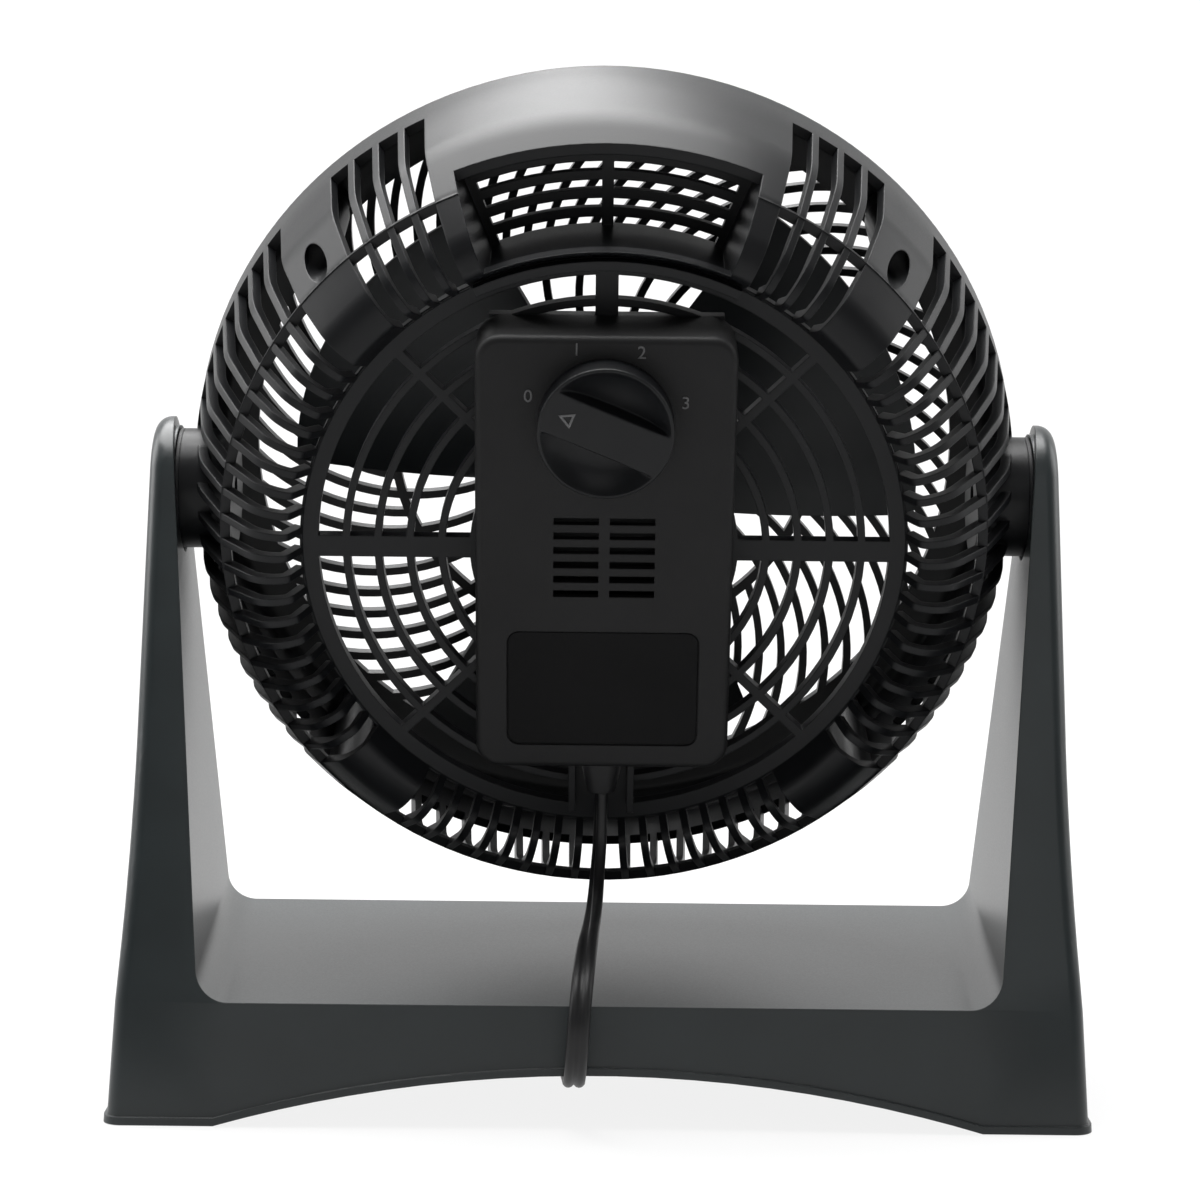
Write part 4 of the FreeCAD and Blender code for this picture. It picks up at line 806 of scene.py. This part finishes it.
@dataclass
class ControlBox:
    """The control box with its dial numbers, bare label and switch."""

    knob_middle: float = KNOB_MIDDLE
    face_place: float = BOX_FACE
    mark_radius: float = 0.0250
    mark_size: float = 0.0056
    mark_depth: float = 0.0003
    mark_angles: tuple[float, ...] = (160.0, 111.0, 65.0, 16.0)
    label_half_width: float = 0.0297
    label_half_height: float = 0.0192
    label_middle: float = -0.0387
    label_corner: float = 0.0037
    label_floor: float = -0.0700
    label_thickness: float = 0.0004
    label_chamfer: float = 0.00015
    label_side_share: float = 0.6
    label_points: int = 48

    def build(self) -> None:
        """Dress the box and add the dial numbers and the bare label."""
        smooth_skin("control_box", "head", BOX_GRAIN)
        self.bare_label()
        dress(SCREW_STEEL, "box_screws", "switch_nut")
        dress(SWITCH_NYLON, "rotary_switch", "switch_shaft")
        for number, angle in enumerate(self.mark_angles):
            self.dial_number(str(number), angle)

    def bare_label(self) -> None:
        """A thin blank film in the label recess.

        Its outline is a rectangle whose corners are quarter circles: the corner's middle plus the radius
        times (cos a, sin a). Three rings make the side and a narrow chamfer round the face.
        """
        half_step = math.pi / self.label_points
        angle = np.linspace(0, 2 * math.pi, self.label_points, endpoint=False) + half_step
        across, up = np.cos(angle), np.sin(angle)
        radius = self.label_corner - np.array([0.0, 0.0, self.label_chamfer])[:, None]
        depth = self.label_floor - np.array([0.0, self.label_side_share, 1.0])[:, None] * self.label_thickness
        x = np.sign(across) * (self.label_half_width - self.label_corner) + radius * across
        z = np.sign(up) * (self.label_half_height - self.label_corner) + radius * up + self.label_middle
        rings = np.stack(np.broadcast_arrays(x, depth, z), axis=-1)
        placed = head_to_world(rings.reshape(-1, 3)).reshape(rings.shape)
        label = tube_piece("bare_label", placed, LABEL_FILM.material())
        keep_sharp(label)
        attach(label, "head")
        LOG.info("%s in its recess", label.name)

    def dial_number(self, text: str, angle: float) -> None:
        """Stand one number on the face of the box, at an angle round the knob.

        Args:
            text: The number.
            angle: Degrees from the right-hand side, seen from behind.
        """
        name = f"dial_number_{text}"
        curve = bpy.data.curves.new(name, "FONT")
        curve.body = text
        curve.size = self.mark_size
        curve.align_x = curve.align_y = "CENTER"
        curve.extrude = self.mark_depth
        mesh = curve_mesh(curve)
        across, up, high = mesh_points(mesh).T
        turn = math.radians(angle)
        x = across + self.mark_radius * math.cos(turn)
        z = up + self.knob_middle + self.mark_radius * math.sin(turn)
        local = np.stack([x, self.face_place - high, z], axis=-1)
        mesh.vertices.foreach_set("co", head_to_world(local).ravel())
        mesh.materials.clear()
        mesh.materials.append(MARK_GREY.material())
        mesh.update()
        number = bpy.data.objects.new(name, mesh)
        bpy.context.scene.collection.objects.link(number)
        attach(number, "head")
        LOG.info("%s at %.0f degrees", number.name, angle)


@dataclass
class SpeedKnob:
    """The round knob: a broad grip bar across its whole width, a hollow at each side, and a pointer."""

    middle: float = KNOB_MIDDLE
    face_place: float = BOX_FACE
    seat_gap: float = 0.0005
    radius: float = 0.0207
    height: float = 0.0095
    edge_round: float = 0.0007
    edge_rings: int = 5
    grip_half: float = 0.0070
    grip_bevel: float = 0.0005
    grip_draft: float = 0.0007
    grip_flat_share: float = 0.7
    grip_rows: int = 9
    bevel_rows: tuple[float, ...] = (-2, -1, -0.5, 0, 0.25, 0.5, 0.75)
    side_rows: int = 30
    points_along: int = 81
    hollow_radius: float = 0.0197
    hollow_depth: float = 0.0060
    rest_turn: float = 157.0
    pointer_tip: float = 0.0155
    pointer_foot: float = 0.0108
    pointer_half: float = 0.0026
    pointer_line: float = 0.0006
    pointer_rise: float = 0.0002

    def build(self) -> None:
        """Make the knob and its pointer in place of the plain node."""
        top = self.top()
        loop = np.concatenate([top[:, -1], top[-2:0:-1, 0]])
        knob = closed_piece("speed_knob_grip", [top, self.wall(loop)], [False, True], KNOB_SATIN.material())
        self.seat(knob)
        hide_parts("speed_knob")
        pointer = closed_piece("knob_pointer", [self.pointer()], [True], MARK_GREY.material())
        self.seat(pointer)
        for piece in (knob, pointer):
            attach(piece, "knob")
            LOG.info("%s at %.0f degrees", piece.name, self.rest_turn)

    def top(self) -> np.ndarray:
        """The face, as rows across the grip of points along it.

        The height is the full one on the grip. Beside it, it falls by the hollow's depth times one minus the
        fourth power of the distance from the middle over the hollow's radius. A smooth step joins the two.

        Returns:
            An array of rows by points by (along the grip, across it, height).
        """
        edge = self.radius - self.edge_round
        side = np.linspace(self.grip_half + self.grip_draft, edge, self.side_rows)
        bevel = self.grip_half + np.array(self.bevel_rows) * self.grip_draft
        flat = np.linspace(-self.grip_flat_share, self.grip_flat_share, self.grip_rows) * self.grip_half
        across = np.concatenate([-side[::-1], -bevel[::-1], flat, bevel, side])
        share = np.sin(np.linspace(-math.pi / 2, math.pi / 2, self.points_along))
        v = np.broadcast_to(across[:, None], (len(across), len(share)))
        u = share[None, :] * np.sqrt(np.maximum(edge ** 2 - across ** 2, 0))[:, None]
        bowl = np.clip(1 - (np.hypot(u, v) / self.hollow_radius) ** 4, 0, 1) * self.hollow_depth
        beside = np.abs(v) - self.grip_half + self.grip_bevel
        step = np.clip(beside / (self.grip_bevel + self.grip_draft), 0, 1)
        return np.stack([u, v, self.height - bowl * step ** 2 * (3 - 2 * step)], axis=-1)

    def wall(self, loop: np.ndarray) -> np.ndarray:
        """The foot, the upright side and the rounded edge: rings from the middle of the foot up to the face.

        The rounded edge is a quarter circle: the radius grows by r cos a as the drop shrinks by r sin a.

        Args:
            loop: Points round the edge of the face.

        Returns:
            An array of rings by points by three coordinates.
        """
        turn = np.linspace(0, math.pi / 2, self.edge_rings)
        edge = self.radius - self.edge_round
        foot_radii = np.array([0.0, self.radius])
        radii = np.concatenate([foot_radii, edge + self.edge_round * np.cos(turn)])
        flat = loop[None, :, :2] * (radii / edge)[:, None, None]
        foot = np.full((len(foot_radii), len(loop)), self.seat_gap)
        rim = loop[None, :, 2] - ((1 - np.sin(turn)) * self.edge_round)[:, None]
        return np.concatenate([flat, np.concatenate([foot, rim])[:, :, None]], axis=2)

    def pointer(self) -> np.ndarray:
        """A three-cornered outline a little proud of the grip.

        Returns:
            Five rings of three corners, of which the last is the first again.
        """
        outer = np.array([[self.pointer_tip, 0.0], [self.pointer_foot, self.pointer_half],
                          [self.pointer_foot, -self.pointer_half]])
        middle = outer.mean(axis=0)
        inner = middle + (outer - middle) * (1 - 2 * self.pointer_line / self.pointer_half)
        low, high = self.height - self.pointer_rise, self.height + self.pointer_rise
        rings = ((outer, low), (outer, high), (inner, high), (inner, low), (outer, low))
        return np.stack([np.column_stack([flat, np.full(len(flat), level)]) for flat, level in rings])

    def seat(self, piece: bpy.types.Object) -> None:
        """Turn a piece to the knob's rest angle and set it on the face of the box.

        Args:
            piece: A piece whose points are along the grip, across it and above the box.
        """
        u, v, high = mesh_points(piece.data).T
        turn = math.radians(self.rest_turn)
        x = u * math.cos(turn) - v * math.sin(turn)
        z = u * math.sin(turn) + v * math.cos(turn) + self.middle
        local = np.stack([x, self.face_place - high, z], axis=-1)
        piece.data.vertices.foreach_set("co", head_to_world(local).ravel())
        piece.data.update()


@dataclass
class MotorAndBlade:
    """The motor inside the drum and the blade that it turns."""

    def build(self) -> None:
        """Dress the motor's nodes and the blade."""
        smooth_skin("fan_blade", "fan", BLADE_SATIN)
        smooth_skin("blade_nut", "fan", BLADE_SATIN)
        smooth_skin("motor_rear_bell", "head", BELL_ALUMINIUM)
        smooth_skin("motor_front_bell", "head", BELL_ALUMINIUM)
        smooth_skin("stator_core", "head", CORE_STEEL)
        smooth_skin("motor_windings", "head", WINDING_COPPER)
        dress(BUSHING_BRASS, "motor_bushings")
        dress(SCREW_STEEL, "motor_bolts", "motor_shaft")
        dress(CORE_STEEL, "rotor")


def main() -> None:
    """Build the studio and every sub-assembly in order."""
    logging.basicConfig(level=logging.INFO, format="%(name)s: %(message)s")
    bpy.context.scene.view_settings.view_transform = "Standard"
    for part in (Studio(), MainsLead(), Stand(), Drum(), ControlBox(), SpeedKnob(), MotorAndBlade()):
        part.build()


if __name__ == "__main__":
    main()
